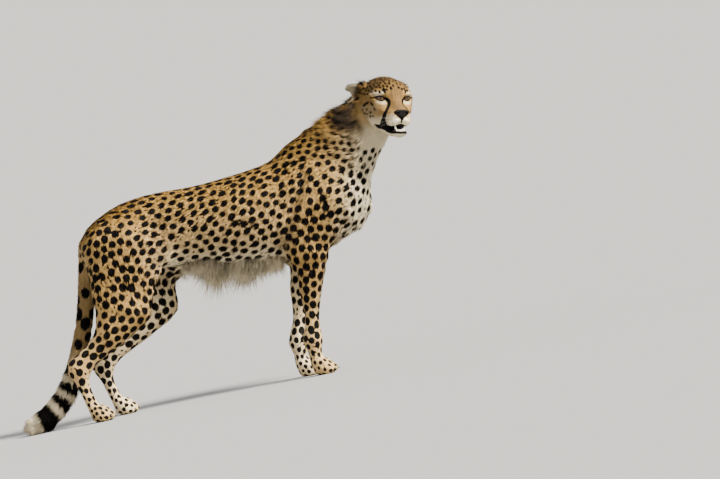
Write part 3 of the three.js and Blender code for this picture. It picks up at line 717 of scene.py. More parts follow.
def pale_body():
    """How white the coat is on the body, from 0 to 1."""
    points, normals = Skin.points, Skin.normals
    trunk = on("trunk", "neck")
    pale = 0.28 * trunk * ease(0.5, -0.6, normals[:, Z])
    pale = np.maximum(pale, trunk * ease(-0.4, -0.8, normals[:, Z]))
    neck_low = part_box("neck")[0]
    front = ease(0.15, 0.65, normals[:, X]) * on("trunk", "neck", "foreleg_right", "foreleg_left")
    pale = np.maximum(pale, front * ease(neck_low.x + 0.02, neck_low.x + 0.1, points[:, X]))
    for name in LEGS:
        inner = ease(0.0, 0.7, -LEG_SIDE[name] * normals[:, Y])
        low = 0.1 * ease(0.30, 0.06, points[:, Z])
        pale = np.maximum(pale, on(name) * np.clip(0.05 + low + 0.54 * inner, 0, 1))
    ringed = ease(RINGED + 0.05, RINGED - 0.05, to_tail_tip())
    return np.maximum(pale, on("tail") * (0.1 + 0.8 * ringed))


def pale_face(head):
    """How white the coat is on the head, from 0 to 1."""
    x, y, z = folded(head)
    muzzle = ease(1.3, 0.85, reach(head, WHITE_MUZZLE, WHITE_MUZZLE_RADII))
    side = 0.5 * ease(-40, -66, z) * ease(58, 40, y) * ease(-20, 5, x)
    chin = ease(-84, -96, z) * ease(-60, -30, x)
    above = 0.5 * ease(1.4, 0.5, np.hypot((y - 54) / 17, (z - 15) / 8)) * ease(-40, -20, x)
    below = 0.34 * ease(1.5, 0.5, np.hypot((y - 43) / 20, (z + 13) / 7)) * ease(-40, -20, x)
    below *= ease(24, 30, y + 0.35 * (z + 14))
    cheek = 0.04 + 0.7 * ease(-44, -80, z) + 0.12 * ease(48, 66, y) * ease(-10, -30, z)
    face = np.maximum.reduce([muzzle, side, chin, above, below, cheek])
    return np.minimum(face, 1 - 0.85 * ease(5, 30, z) * (y < 34))


def pale_share(head):
    """How white the coat is, from 0 to 1."""
    x, _, z = folded(head)
    throat = on("head", "neck") * ease(-75, -95, z) * ease(-110, -80, x)
    throat = throat * ease(0.4, -0.2, Skin.normals[:, Z])
    pale = np.maximum(np.where(on("head"), pale_face(head), pale_body()), 0.85 * throat)
    for sign in SIDES.values():
        facing, share = ear_places(head, sign)
        ear = np.maximum(0.75 * ease(0.0, 0.3, facing), 0.8 * ease(0.72, 0.9, share))
        pale = np.where(share > EAR_BASE, ear * ease(0.2, 0.5, share), pale)
    return pale


def warm_share(head):
    """How much of the back's and forehead's deeper tawny the coat has, from 0 to 1."""
    up = ease(0.1, 0.95, Skin.normals[:, Z])
    rump = 0.3 * ease(0.5, 0.62, Skin.points[:, Z]) * ease(-0.1, -0.28, Skin.points[:, X])
    warm = 0.52 * up * ~on("head", "neck") + (0.3 + 0.4 * up) * on("neck")
    warm += 0.4 * on("tail") + rump
    _, y, z = folded(head)
    lines = ease(7, 2, np.abs(y - 9)) * ease(-8, 6, z)
    bridge = 0.9 * ease(28, 14, y) * ease(-58, -42, z)
    temple = ease(48, 66, y) * ease(-75, -45, z)
    crown = ease(24, 44, z)
    face = np.clip(0.72 + 0.5 * lines + bridge + 0.1 * temple + 0.5 * crown, 0, 1)
    return np.where(on("head"), face, warm)


def nape_hair_and_shade(head):
    """How much of the mantle the nape and the back of the head have: partly the grey-brown of the
    nape's own hair, partly painted shade behind the head.
    """
    x, _, z = head.T
    away = reach(head, SKULL)
    nape = on("neck", "head") * ease(84, 108, away) * ease(192, 140, away)
    nape *= 1 - 0.45 * ease(0.2, 0.8, (Skin.normals @ np.array(HEAD_TURN))[:, Y])
    nape = 1.1 * nape * ease(-115, -75, z) * ease(-60, -85, x)
    return nape * (1 - 0.45 * ease(0, 40, z) * ease(-135, -95, x))


def painted_hollow_shade():
    """Painted shade: how much of the mantle's grey-brown is painted into the coat where shade
    falls, in the flank's and the elbow's hollows, on the tail and along the folds.
    """
    low, high = box_corners("torso")
    flank = (Skin.points - (low[X] + 0.1, 0.02, low[Z] + 0.12)) / (0.07, 0.2, 0.06)
    elbow = (Skin.points - (high[X] - 0.2, 0.02, low[Z] + 0.08)) / (0.1, 0.2, 0.05)
    near = [ease(1.2, 0.5, np.linalg.norm(place, axis=1)) for place in (flank, elbow)]
    under = on("trunk") * ease(0.3, -0.4, Skin.normals[:, Z])
    return np.maximum.reduce([
        0.5 * under * np.maximum(*near),
        0.3 * on("tail"),
        0.55 * fold_share(SHOULDER_FOLD, 13),
        0.42 * fold_share(FLANK_FOLD, 19),
    ])


def forehead_streaks(head):
    """How much of the mantle's grey the bridge of the nose and the forehead have."""
    _, y, z = folded(head)
    bridge = 0.4 * ease(24, 12, y) * ease(-54, -42, z) * ease(0, -30, z)
    streaks = 0.4 * np.maximum(ease(3.5, 1.5, np.abs(y - 14)), ease(3, 1, np.abs(y - 4)))
    return on("head") * np.maximum(bridge, streaks * ease(-12, 0, z) * ease(34, 22, z))


def mantle_and_painted_shade(head):
    """How much of the grey-brown mantle colour the coat has, from 0 to 1: the nape's hair, painted
    shade in hollows and folds and on the tail, streaks on the forehead, and the inside of each
    ear, greyest towards its base.
    """
    dark = np.maximum.reduce([nape_hair_and_shade(head), painted_hollow_shade(), forehead_streaks(head)])
    for sign in SIDES.values():
        facing, share = ear_places(head, sign)
        inside = ease(0.0, 0.3, facing) * (0.5 + 0.4 * ease(0.5, 0.25, share))
        dark = np.where(share > EAR_BASE, inside, dark)
    return np.clip(dark, 0, 1)


# Folds of the skin on each side, as places X and Z, in metres: behind the shoulder, and
# where the thigh meets the flank.
SHOULDER_FOLD = [(0.325, 0.622), (0.299, 0.558), (0.253, 0.473), (0.207, 0.41)]
FLANK_FOLD = [(-0.148, 0.585), (-0.144, 0.530), (-0.152, 0.480), (-0.170, 0.440)]


def fold_share(line, width):
    """How near each point is to a fold, from 0 to 1, with the width in millimetres."""
    flat = Skin.points * (1, 0, 1)
    away = along_chain(flat, [np.array((x, 0, z)) for x, z in line])[0] / MM
    outer = ease(0.025, 0.045, np.abs(Skin.points[:, Y]))
    return np.exp(-((away / width) ** 2)) * outer * ~on("head", "tail")


def spot_sizes():
    """The spacing of spots at each point of the skin, and their half width over it."""
    spacing, share = by_part(SPACING), by_part(SPOT_SHARE)
    legs, trunk = on(*LEGS), on("trunk")
    spacing[legs] *= 0.62 + 0.38 * ease(0.05, 0.16, Skin.points[legs, Z])
    share[legs] *= 0.8 + 0.2 * ease(0.04, 0.12, Skin.points[legs, Z])
    spacing[trunk] *= 1 - 0.2 * ease(0.8, 0.95, Skin.points[trunk, X] / CAD_BOX[1].x)
    return spacing, share


def spot_places(head, pale):
    """Where spots may be, from 0 to 1."""
    x, y, z = folded(head)
    crown = z > 33 - 0.25 * y
    allowed = np.where(on("head"), crown | ((x < -84) & (z > -95)), True)
    allowed &= ~(on("tail") & (to_tail_tip() < RINGED))
    allowed &= ear_share(head) < 0.1
    allowed &= crown | (reach(head, SKULL) > 152) | ~on("neck", "head")
    return allowed * (1 - 0.95 * ease(0.62, 0.95, pale) * ~on("tail"))


def spot_seats(random, spacing, allowed):
    """Where spots are, and how large each is over its part's spots.

    The large ones are spread evenly, and small ones are then set in the gaps."""
    stretch = by_part(STRETCH)
    first = settle(*scatter(random, spacing, stretch, allowed), spacing, stretch)
    tree = tree_of(face_values(Skin.points, *first))
    free = np.array([tree.find(p)[2] for p in Skin.points]) > DOT_GAP * spacing
    allowed = allowed * free * ~on("head", "tail")
    second = scatter(random, DOT_SPACING * spacing, stretch, allowed)
    picks, shares = (np.concatenate(pair) for pair in zip(first, second))
    count = len(picks)
    large = np.arange(count) < len(first[0])
    sizes = np.where(large, random.uniform(*SPOT_SIZES, count), random.uniform(*DOT_SIZES, count))
    return picks, shares, sizes


def spot_edges(random, head, pale):
    """How far each point lies outside the nearest spot or ring, in millimetres."""
    spacing, share = spot_sizes()
    picks, shares, sizes = spot_seats(random, spacing, spot_places(head, pale))
    count = len(picks)
    widths = face_values(spacing * share, picks, shares) * sizes
    longer = face_values(by_part(STRETCH), picks, shares) - 1
    longer = 1 + longer * random.uniform(0.5, 1.0, count)
    seats = face_values(Skin.points, picks, shares)
    normal = unit(face_values(Skin.normals, picks, shares))
    axis = unit(unit(face_values(Skin.flow, picks, shares)) + random.normal(0, 0.16, (count, 3)))
    across = unit(np.cross(normal, axis))
    tree = tree_of(seats)
    found = np.array([[hit[1] for hit in tree.find_n(p, 4)] for p in Skin.points])
    edge = np.full(len(Skin.points), FAR)
    for column in found.T:
        away = Skin.points - seats[column]
        long = (away * axis[column]).sum(1) / (widths[column] * longer[column])
        wide = (away * across[column]).sum(1) / widths[column]
        deep = (away * normal[column]).sum(1) / (2.2 * widths[column])
        outside = (np.sqrt(long**2 + wide**2 + deep**2) - 1) * widths[column] / MM
        edge = np.minimum(edge, outside)
    return np.minimum(edge, ring_edges())


def ring_edges():
    """How far each point lies outside the rings of the tail, in millimetres."""
    start, edges = RINGS["tip"], []
    for wide in [RINGS["last"]] + RINGS["count"] * [RINGS["band"]]:
        edges.append(np.abs(to_tail_tip() - start - wide / 2) - wide / 2)
        start += wide + RINGS["gap"]
    return np.where(on("tail"), np.minimum.reduce(edges) / MM, FAR)


def beads(tree, stroke, sign):
    """A stroke as closely set places on the skin, in the head's frame, with half widths."""
    stroke = np.array(stroke, float) * (1, sign, 1, 1)
    places = [stroke[0]]
    for start, end in zip(stroke[:-1], stroke[1:]):
        steps = max(1, math.ceil(np.linalg.norm(end[:3] - start[:3]) / 1.5))
        places += [start + (end - start) * (k + 1) / steps for k in range(steps)]
    rows = []
    for x, y, z, radius in places:
        place = tree.find_nearest(from_head(x, y, z))[0]
        rows.append((*to_head(np.array(place)[None])[0], radius))
    return rows


def bead_edges(head, rows):
    """How far each point lies outside the beads, in millimetres."""
    edge = np.full(len(head), FAR)
    for x, y, z, radius in rows:
        edge = np.minimum(edge, np.linalg.norm(head - (x, y, z), axis=1) - radius)
    return edge


def in_eye_frame(points, side):
    """Places in an eyeball's own frame, in millimetres."""
    return (points - np.array(EYES[side])) @ np.array(eye_frame(side))[:3, :3] / MM


def face_edges(head):
    """How far each point lies outside the black marks of the face and the mouth's painted shade,
    in millimetres.
    """
    tree = surface_tree(Skin.obj)
    near = on("head")
    part = head[near]
    rows = beads(tree, LIP_LINE, 1)
    for sign in SIDES.values():
        for stroke in STROKES:
            rows += beads(tree, stroke, sign)
        for x, y, z in WHISKER_ROWS:
            for k in range(4):
                rows += beads(tree, [(x - 7 * k, y + 3.5 * k, z + 0.8 * k, 0.7)], sign)
    x, y, z = folded(part)
    above = z - lip_height(UPPER_LIP, x) - 2.2
    below = lip_height(LOWER_LIP, x) - 10.5 - z
    lips = np.maximum.reduce([above, below, -26 - x])
    # the inside of the mouth's hollow is painted black, as painted shade
    mouth = (reach(part, MOUTH, MOUTH_RADII) - MOUTH_EDGE) * 20
    nose = np.maximum.reduce([y - 20.5 - 0.6 * (z + 42), z + 41, -71 - z, 42 - x])
    found = [bead_edges(part, rows), lips, mouth, nose]
    for side in SIDES:
        local = in_eye_frame(Skin.points[near], side)
        liner = slit_edge(local, side) - np.where(local[:, Y] > 0, 4.0, 3.2)
        found.append(np.where(local[:, Z] > 4, liner, FAR))
    edge = np.full(len(head), FAR)
    edge[near] = np.minimum.reduce(found)
    for sign in SIDES.values():
        inside, share = ear_places(head, sign)
        backside = np.maximum(np.abs(share - 0.52) - 0.42, 0.1 + inside) * 40
        edge = np.where((share > 0) & (share < 1.4), np.minimum(edge, backside), edge)
    return edge


# The left ear in the head's frame: its root, the way it points and the way its cup opens.
EAR_ROOT, EAR_WAY, EAR_OPEN = (-95, 62, 26), (-0.38, 0.9, 0.22), (0.66, 0.16, -0.73)
EAR_LENGTH = 58
EAR_BASE = 0.15  # the share of its length from which an ear has markings of its own


def ear_places(head, sign):
    """How much a point faces into an ear's cup, and its share of the ear's length.

    The share is -1 away from the ear."""
    flip = np.array((1, sign, 1))
    away = head - flip * EAR_ROOT
    way = unit(flip * EAR_WAY)
    share = away @ way / EAR_LENGTH
    off = np.linalg.norm(away - (away @ way)[:, None] * way, axis=1)
    facing = Skin.normals @ np.array(HEAD_TURN) @ unit(flip * EAR_OPEN)
    return facing, np.where(off < np.where(share > 0.35, 55, 36), share, -1)


def mark_skin():
    """Works out all markings on the skin and keeps them as attributes of its mesh."""
    random = np.random.default_rng(coat().seed)
    head = to_head(Skin.points)
    shares = np.stack([pale_share(head), warm_share(head)], 1)
    edge = np.minimum(spot_edges(random, head, shares[:, 0]), face_edges(head))
    wide = spread(shares, Skin.pairs, len(head), 40)
    soft = ~on("head")[:, None] * ease(EAR_BASE, 0.05, ear_share(head))[:, None]
    shares = shares * (1 - soft) + wide * soft
    Skin.mark = np.stack([edge, *shares.T], 1)
    tone = blotches(random, 3)
    # the last column is how far up the coat a place lies, which the coat's colour darkens towards
    # the root as painted shade
    Skin.shade = np.stack([mantle_and_painted_shade(head), tone, np.full(len(head), 0.35)], 1)
    set_attribute(Skin.obj, "mark", Skin.mark)
    set_attribute(Skin.obj, "shade", Skin.shade)


def ear_share(head):
    """The share of an ear's length at each point, or -1 away from the ears."""
    return np.maximum(*(ear_places(head, sign)[1] for sign in SIDES.values()))


def set_attribute(obj, name, values):
    attribute = obj.data.attributes.new(name, "FLOAT_VECTOR", "POINT")
    attribute.data.foreach_set("vector", values.astype(np.float32).ravel())


# The coat's depth on each part, in millimetres.
DEPTH = {"trunk": 4.0, "neck": 5.0, "head": 1.4, "tail": 4.5}
DEPTH.update({name: 2.8 for name in LEGS})
PAW_DEPTH, PAW_HEIGHT = 1.2, 0.06
PAD_DEPTH = 6.0  # below the nose pad, so that the pad alone shows
EYEBALL = EYE_RADIUS / MM
LID_REACH = 30  # how far from an eye's centre the skin thins to nothing, mm
ORBIT = 34  # how far from an eye's centre its lids reach at most, mm


def coat_depth(head):
    """How far the skin lies below the coat's surface, in millimetres."""
    depth = by_part(DEPTH)
    depth[on(*LEGS) & (Skin.points[:, Z] < PAW_HEIGHT)] = PAW_DEPTH
    depth = spread(depth, Skin.pairs, len(depth), 8)
    depth += 5.0 * fold_share(SHOULDER_FOLD, 12) + 2.5 * fold_share(FLANK_FOLD, 16)
    x, y, z = folded(head)
    depth = np.where((x > 40) & (y < 20) & (z > -67) & (z < -42), PAD_DEPTH, depth)
    for eye in EYES.values():
        away = np.linalg.norm(Skin.points - np.array(eye), axis=1) / MM
        depth *= ease(EYEBALL, LID_REACH, away)
    return depth * MM * ease(0.0, 0.004, Skin.points[:, Z])


def open_eye(points, side):
    """Presses the skin into the eyeball inside the slit, and lays it on it round the slit."""
    local = in_eye_frame(points, side)
    radius = np.linalg.norm(local, axis=1)
    out = slit_edge(local, side)
    rim = EYEBALL - 3 + 3.4 * ease(-1.0, 2.0, out)
    natural = np.maximum(radius, EYEBALL + 0.6)
    wanted = rim + (natural - rim) * ease(2.5, 10, out)
    near = (local[:, Z] > 2) & (radius > 8) & (radius < ORBIT) & (out < 10)
    scale = np.where(near, wanted / np.maximum(radius, 1), 1)
    turn = np.array(eye_frame(side))[:3, :3]
    return np.array(EYES[side]) + (local * scale[:, None]) @ turn.T * MM


def sink_skin():
    """Draws the skin in by the coat's depth, and opens the eyes in it."""
    depth = coat_depth(to_head(Skin.points))
    points = Skin.points - Skin.normals * depth[:, None]
    for side in SIDES:
        points = open_eye(points, side)
    Skin.points = points
    set_coords(Skin.obj.data, points)
    Skin.normals = unit(normals_of(Skin.obj.data))
    Skin.tree = surface_tree(Skin.obj)


# ---------------------------------------------------------------- eyes and lids
# The slit between the lids, in millimetres, its outer corner higher than its inner one.
SLIT = {"half": 15.5, "above": 4.0, "under": 5.2, "slant": 0.17}
GAZE_OUT = 0.36  # how far each eye looks to its side, over straight ahead
CORNEA = 0.9 * MM  # how far it stands off the eyeball


def eye_frame(side):
    """A frame on the eyeball: x across the slit to the head's left, y up, z the gaze."""
    gaze = (HEAD_TURN @ Vector((1, SIDES[side] * GAZE_OUT, -0.04))).normalized()
    up = HEAD_TURN @ Vector((0, 0, 1))
    across = up.cross(gaze).normalized()
    matrix = Matrix((across, gaze.cross(across), gaze)).transposed().to_4x4()
    matrix.translation = EYES[side]
    return matrix


def slit_edge(local, side):
    """How far places in an eyeball's frame lie outside the slit, in millimetres."""
    x = local[:, X]
    y = local[:, Y] - x * SIDES[side] * SLIT["slant"]
    share = np.clip(1 - (np.abs(x) / SLIT["half"]) ** 2, 0, 1) ** 0.8
    top = SLIT["above"] * share
    bottom = -SLIT["under"] * share
    return np.maximum.reduce([y - top, bottom - y, np.abs(x) - SLIT["half"]])


def build_eye(side):
    """An eyeball with a slight cornea, at the node's place."""
    bpy.ops.object.select_all(action="DESELECT")
    bpy.ops.mesh.primitive_uv_sphere_add(segments=48, ring_count=32, radius=EYE_RADIUS)
    obj = rename(bpy.context.object, f"eyeball_{side}")
    points = coords_of(obj.data)
    points[:, Z] += CORNEA * ease(0.72, 0.95, points[:, Z] / EYE_RADIUS)
    set_coords(obj.data, points)
    obj.data.transform(eye_frame(side))
    mask = obj.data.attributes.new("out", "FLOAT", "POINT")
    across = np.hypot(points[:, X], points[:, Y]) / MM
    across = np.where(points[:, Z] > 0, across, EYEBALL)
    mask.data.foreach_set("value", across.astype(np.float32))
    return obj


LID_STEPS = 56
# A lid's section: how far outside the slit, and how far above the eyeball, in millimetres.
LID_SECTION = [
    (-0.6, -0.8), (-0.6, 0.8), (0.3, 1.9), (2.2, 2.6), (4.4, 2.4), (6.4, 1.0), (7.4, -1.4),
]


def band_faces(rows, sides, ring=False):
    """Faces between rows of points round a tube, which a ring also joins end to end."""
    faces = []
    for j in range(rows if ring else rows - 1):
        k = (j + 1) % rows
        for i in range(sides):
            n = (i + 1) % sides
            faces.append((j * sides + i, j * sides + n, k * sides + n, k * sides + i))
    return faces


def build_lids(side):
    """Both lids of one eye: a rim on the eyeball that rolls out over the skin."""
    vertices = []
    for out, lift in LID_SECTION:
        for i in range(LID_STEPS):
            a = 2 * math.pi * i / LID_STEPS
            c, s = math.cos(a), math.sin(a)
            high = SLIT["above"] if s > 0 else SLIT["under"]
            x = SLIT["half"] * c
            y = high * math.copysign(abs(s) ** 1.25, s) + x * SIDES[side] * SLIT["slant"]
            heavy = 1.25 if s > 0 else 1.0
            x += out * c * 0.55
            y += out * heavy * (s if abs(c) < 0.97 else 0.2 * s)
            z = math.sqrt(max((EYEBALL + lift) ** 2 - x * x - y * y, 4))
            vertices.append(Vector((x, y, z)) * MM)
    faces = band_faces(len(LID_SECTION), LID_STEPS, ring=True)
    obj = new_object(f"lids_{side}", vertices, faces)
    obj.data.transform(eye_frame(side))
    outward(obj)
    picks, shares = sample(coords_of(obj.data))
    mark = face_values(Skin.mark, picks, shares)
    out = np.repeat([out for out, _ in LID_SECTION], LID_STEPS)
    mark[:, 0] = np.minimum(mark[:, 0], out - 3.6)
    set_attribute(obj, "mark", mark)
    set_attribute(obj, "shade", face_values(Skin.shade, picks, shares))
    return obj


# ---------------------------------------------------------------- nose, mouth, claws
NOSE_GROW = (1.04, 1.15, 1.06)  # the bare skin runs on past the solid pad's rim


def build_nose():
    obj = merged_copy("nose", 0.5 * MM)
    remesh(obj, 1.1 * MM)
    smooth(obj, 6)
    points = to_head(coords_of(obj.data))
    middle = np.array((points.min(0) + points.max(0)) / 2)
    points = middle + (points - middle) * NOSE_GROW
    set_coords(obj.data, points * MM @ np.array(HEAD_TURN).T + np.array(HEAD_ORIGIN))
    return rename(obj, "nose_leather")


def build_tongue():
    obj = merged_copy("tongue", 0.2 * MM)
    remesh(obj, 1.5 * MM)
    smooth(obj, 8)
    return rename(obj, "tongue_flesh")


def horn(root, tip, side, radius, bow, name, steps=9, sides=12, point=0.75):
    """A bowed, tapered tooth, claw or whisker as a closed tube."""
    root, tip, bow = Vector(root), Vector(tip), Vector(bow)
    bend = (root + tip) / 2 + bow
    vertices = []
    for k in range(steps):
        t = k / steps
        at = root * (1 - t) ** 2 + bend * 2 * t * (1 - t) + tip * t * t
        way = ((bend - root) * (1 - t) + (tip - bend) * t).normalized()
        across = way.cross(Vector(side)).normalized()
        other = way.cross(across)
        r = radius * (1 - t) ** point
        for i in range(sides):
            a = 2 * math.pi * i / sides
            vertices.append(at + across * (r * math.cos(a)) + other * (r * 0.8 * math.sin(a)))
    vertices += [root, tip]
    faces = band_faces(steps, sides)
    last = (steps - 1) * sides
    for i in range(sides):
        n = (i + 1) % sides
        faces.append((len(vertices) - 2, n, i))
        faces.append((last + i, last + n, len(vertices) - 1))
    return new_object(name, vertices, faces)


def build_teeth():
    """Canines and a row of small lower front teeth, in the head's frame."""
    across = HEAD_TURN @ Vector((0, 1, 0))
    ahead = HEAD_TURN @ Vector((1, 0, 0))
    teeth = []
    for sign in SIDES.values():
        upper = (from_head(38, 16 * sign, -80), from_head(38, 15.5 * sign, -101))
        lower = (from_head(42, 12.5 * sign, -112), from_head(41, 13.5 * sign, -92))
        teeth.append(horn(*upper, across, 4.2 * MM, ahead * 2 * MM, "tooth"))
        teeth.append(horn(*lower, across, 3.8 * MM, ahead * 2.5 * MM, "tooth"))
    for k in range(6):
        y = (k - 2.5) * 3.4
        root = from_head(44 - 0.02 * y * y, y, -110)
        tip = from_head(45 - 0.02 * y * y, y, -98)
        bow = ahead * 0.3 * MM
        teeth.append(horn(root, tip, across, 2.0 * MM, bow, "tooth", steps=7, point=0.3))
    return outward(join(teeth, "teeth"))


TOES = [(-0.76, -13), (-0.26, 0), (0.26, 0), (0.76, -13)]  # share across, mm ahead
PAW_HALF = {"fore": 33 * MM, "hind": 31 * MM}  # half the width that the toes spread over


def build_claws(leg):
    """The claws of one pair of paws, at the front of each toe."""
    claws = []
    for side in SIDES:
        low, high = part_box(f"{leg}paw_{side}")
        middle = (low.y + high.y) / 2
        for share, ahead in TOES:
            y = middle + share * PAW_HALF[leg]
            tip = Vector((high.x - 4 * MM + ahead * MM, y, 8 * MM))
            root = tip + Vector((-17, 0, 9)) * MM
            bow = Vector((2, 0, 5)) * MM
            claws.append(horn(root, tip, (0, 1, 0), 3.6 * MM, bow, "claw"))
    return outward(join(claws, f"claws_{leg}"))


def build_whiskers(random):
    """Three rows of whiskers on each whisker pad."""
    whiskers = []
    for sign in SIDES.values():
        for row in range(3):
            for k in range(2):
                root = from_head(40 - 9 * k, sign * (30 + 2.5 * k), -64 - 7 * row)
                back = Vector((-0.35 - 0.12 * k, sign * 0.9, 0.05 - 0.16 * row))
                way = (HEAD_TURN @ back).normalized()
                long = (40 + 6 * k) * random.uniform(0.75, 1.1) * MM
                droop = Vector((0, 0, -0.12 * long))
                ends = root - way * 5 * MM, root + way * long + droop
                whiskers.append(
                    horn(*ends, (0, 0, 1), 0.11 * MM, -droop, "whisker", steps=6, sides=5)
                )
    return outward(join(whiskers, "whiskers"))


# ---------------------------------------------------------------- fur
def face_values(values, picks, shares):
    """Values at places in triangles, from those at their corners."""
    corners = values[Skin.triangles[picks]]
    if values.ndim == 1:
        return (corners * shares).sum(1)
    return (corners * shares[:, :, None]).sum(1)


def sample(points):
    """The nearest triangle of the skin to each place, and the shares of its corners."""
    found = [Skin.tree.find_nearest(p) for p in points]
    picks = np.array([hit[2] for hit in found])
    place = np.array([hit[0][:] for hit in found])
    a, b, c = (Skin.points[Skin.triangles[picks, k]] for k in range(3))
    ab, ac, ap = b - a, c - a, place - a
    d00, d01, d11 = (ab * ab).sum(1), (ab * ac).sum(1), (ac * ac).sum(1)
    d20, d21 = (ap * ab).sum(1), (ap * ac).sum(1)
    area = np.maximum(d00 * d11 - d01 * d01, 1e-18)
    second = np.clip((d11 * d20 - d01 * d21) / area, 0, 1)
    third = np.clip((d00 * d21 - d01 * d20) / area, 0, 1 - second)
    return picks, np.stack([1 - second - third, second, third], 1)


def roots(random, wanted, weight):
    """Random places on the skin, as many as wanted, spread by area and weight."""
    a, b, c = (Skin.points[Skin.triangles[:, k]] for k in range(3))
    area = np.linalg.norm(np.cross(b - a, c - a), axis=1) / 2
    chance = area * weight[Skin.triangles].mean(1)
    total = np.cumsum(chance)
    picks = np.searchsorted(total, random.random(wanted) * total[-1])
    picks = np.minimum(picks, len(area) - 1)
    first = np.sqrt(random.random(wanted))
    second = random.random(wanted)
    shares = np.stack([1 - first, first * (1 - second), first * second], 1)
    return picks, shares


RING_SIDES = 3
FLOOR_GAP = 0.5 * MM  # no tuft comes nearer to the floor


def tuft_levels(rings):
    """How far up a tuft each of its vertices is, from 0 to 1."""
    return np.append(np.repeat(np.arange(rings), RING_SIDES), rings) / rings


def tuft_faces(rings):
    """The triangles of one tuft: its foot, its sides and its tip."""
    faces = [(0, 2, 1)]
    for a, b, c, d in band_faces(rings, RING_SIDES):
        faces += [(a, b, c), (a, c, d)]
    last = RING_SIDES * (rings - 1)
    tip = last + RING_SIDES
    return faces + [(last + i, last + (i + 1) % RING_SIDES, tip) for i in range(RING_SIDES)]


def triangle_object(name, vertices, faces):
    """An object from arrays of vertices and triangles."""
    mesh = bpy.data.meshes.new(name)
    mesh.vertices.add(len(vertices))
    mesh.vertices.foreach_set("co", vertices.astype(np.float32).ravel())
    mesh.loops.add(faces.size)
    mesh.loops.foreach_set("vertex_index", faces.astype(np.int32).ravel())
    mesh.polygons.add(len(faces))
    mesh.polygons.foreach_set("loop_start", np.arange(0, faces.size, 3, dtype=np.int32))
    mesh.update(calc_edges=True)
    return add_object(name, mesh)


def tuft_mesh(name, foot, normal, way, size, lift, curl, rings):
    """Tapered tufts, each a closed three-sided blade with so many rings and a tip.

    size is an array of length, width and thickness. lift is how far the tip stands off
    over the length. curl is how far the tip hangs down over the length.
    """
    count = len(foot)
    length, width, thick = (size[:, k : k + 1] for k in range(3))
    side = unit(np.cross(way, normal))
    path = []
    for k in range(rings + 1):
        t = k / rings if rings > 1 else k
        rise = lift[:, None] * (1.35 * t - 0.35 * t * t)
        at = foot + way * length * t + normal * length * rise
        at[:, Z] -= (length[:, 0] * curl) * t * t
        path.append(at)
    path[0] = path[0] - normal * (0.4 * thick + 0.6 * MM)
    corners = []
    for k in range(rings):
        taper = (1 - (k / rings) ** 1.6) if k else 0.85
        corners.append(path[k] + side * width * taper / 2)
        corners.append(path[k] - side * width * taper / 2)
        corners.append(path[k] + normal * thick * taper)
    corners.append(path[rings])
    vertices = np.stack(corners, 1).reshape(-1, 3)
    vertices[:, Z] = np.maximum(vertices[:, Z], FLOOR_GAP)
    starts = np.arange(count)[:, None, None] * len(corners)
    faces = (starts + np.array(tuft_faces(rings))).reshape(-1, 3)
    return triangle_object(name, vertices, faces), faces


PATCH = 0.003  # side of a tuft's patch on the bake map
PATCH_CORNERS = np.array([(0, 0), (1, 0), (0.5, 0.35)])


def add_bake_map(obj, faces, rings, places):
    """A map where each tuft is a small patch at its root's place on the unwrapped skin."""
    shape = np.vstack([np.tile(PATCH_CORNERS, (rings, 1)), [(0.5, 1)]])
    shape[:, 1] = 0.25 * shape[:, 1] + 0.75 * tuft_levels(rings)
    flat = (places[:, None, :] + (shape[None] - 0.5) * PATCH).reshape(-1, 2)
    layer = obj.data.uv_layers.new(name="OFBake")
    layer.uv.foreach_set("vector", np.clip(flat[faces.ravel()], 0, 1).astype(np.float32).ravel())


def unwrap(points, region, length):
    """Places on the skin's unwrap: round each part, and along it, in a strip of its own."""
    around, share, strip = np.zeros((3, len(points)))
    present = [k for k in range(len(CHAIN_NAMES)) if (region == k).any()]
    for column, k in enumerate(present):
        chosen = region == k
        chain, _ = CHAINS[CHAIN_NAMES[k]]
        nearest = chain_place(chain, length[chosen])
        away = points[chosen] - nearest
        ahead = unit(np.array([chain[-1] - chain[0]]))[0]
        first = np.array([0.0, 1.0, 0.0]) - ahead[1] * ahead
        first = first / np.linalg.norm(first)
        second = np.cross(ahead, first)
        around[chosen] = np.arctan2(away @ second, away @ first) / (2 * math.pi) + 0.5
        past = (away @ ahead) / chain_length(chain)
        share[chosen] = length[chosen] / chain_length(chain) + past
        strip[chosen] = column
    low, high = share.min(), share.max()
    u = (strip + 0.03 + 0.94 * around) / len(present)
    v = 0.02 + 0.96 * (share - low) / max(high - low, 1e-6)
    return np.stack([u, v], 1)


def chain_place(chain, length):
    """The places at these lengths along a chain."""
    steps = np.cumsum([0] + chain_spans(chain))
    rows = np.array(chain)
    return np.stack([np.interp(length, steps, rows[:, k]) for k in range(3)], 1)


def hair_length():
    """The length of short hair at each point of the skin, in metres."""
    body = coat().body_length
    face = coat().face_length
    length = np.full(len(Skin.points), body)
    length[on("neck")] = 0.95 * body
    length[on("tail")] = 1.1 * body
    legs = on(*LEGS)
    length[legs] = body * (0.45 + 0.5 * ease(0.08, 0.4, Skin.points[legs, Z]))
    head = to_head(Skin.points)
    away = reach(head, NOSE_FRONT)
    on_face = face * (0.8 + 1.4 * ease(30, 120, away) + 1.0 * ease(-50, -85, head[:, X]))
    on_face += 1.2 * face * ease(30, 55, head[:, Z])
    length = np.where(on("head"), on_face, length)
    for sign in SIDES.values():
        length = np.where(ear_places(head, sign)[1] > 0.1, 1.15 * face, length)
    return spread(length, Skin.pairs, len(length), 6)


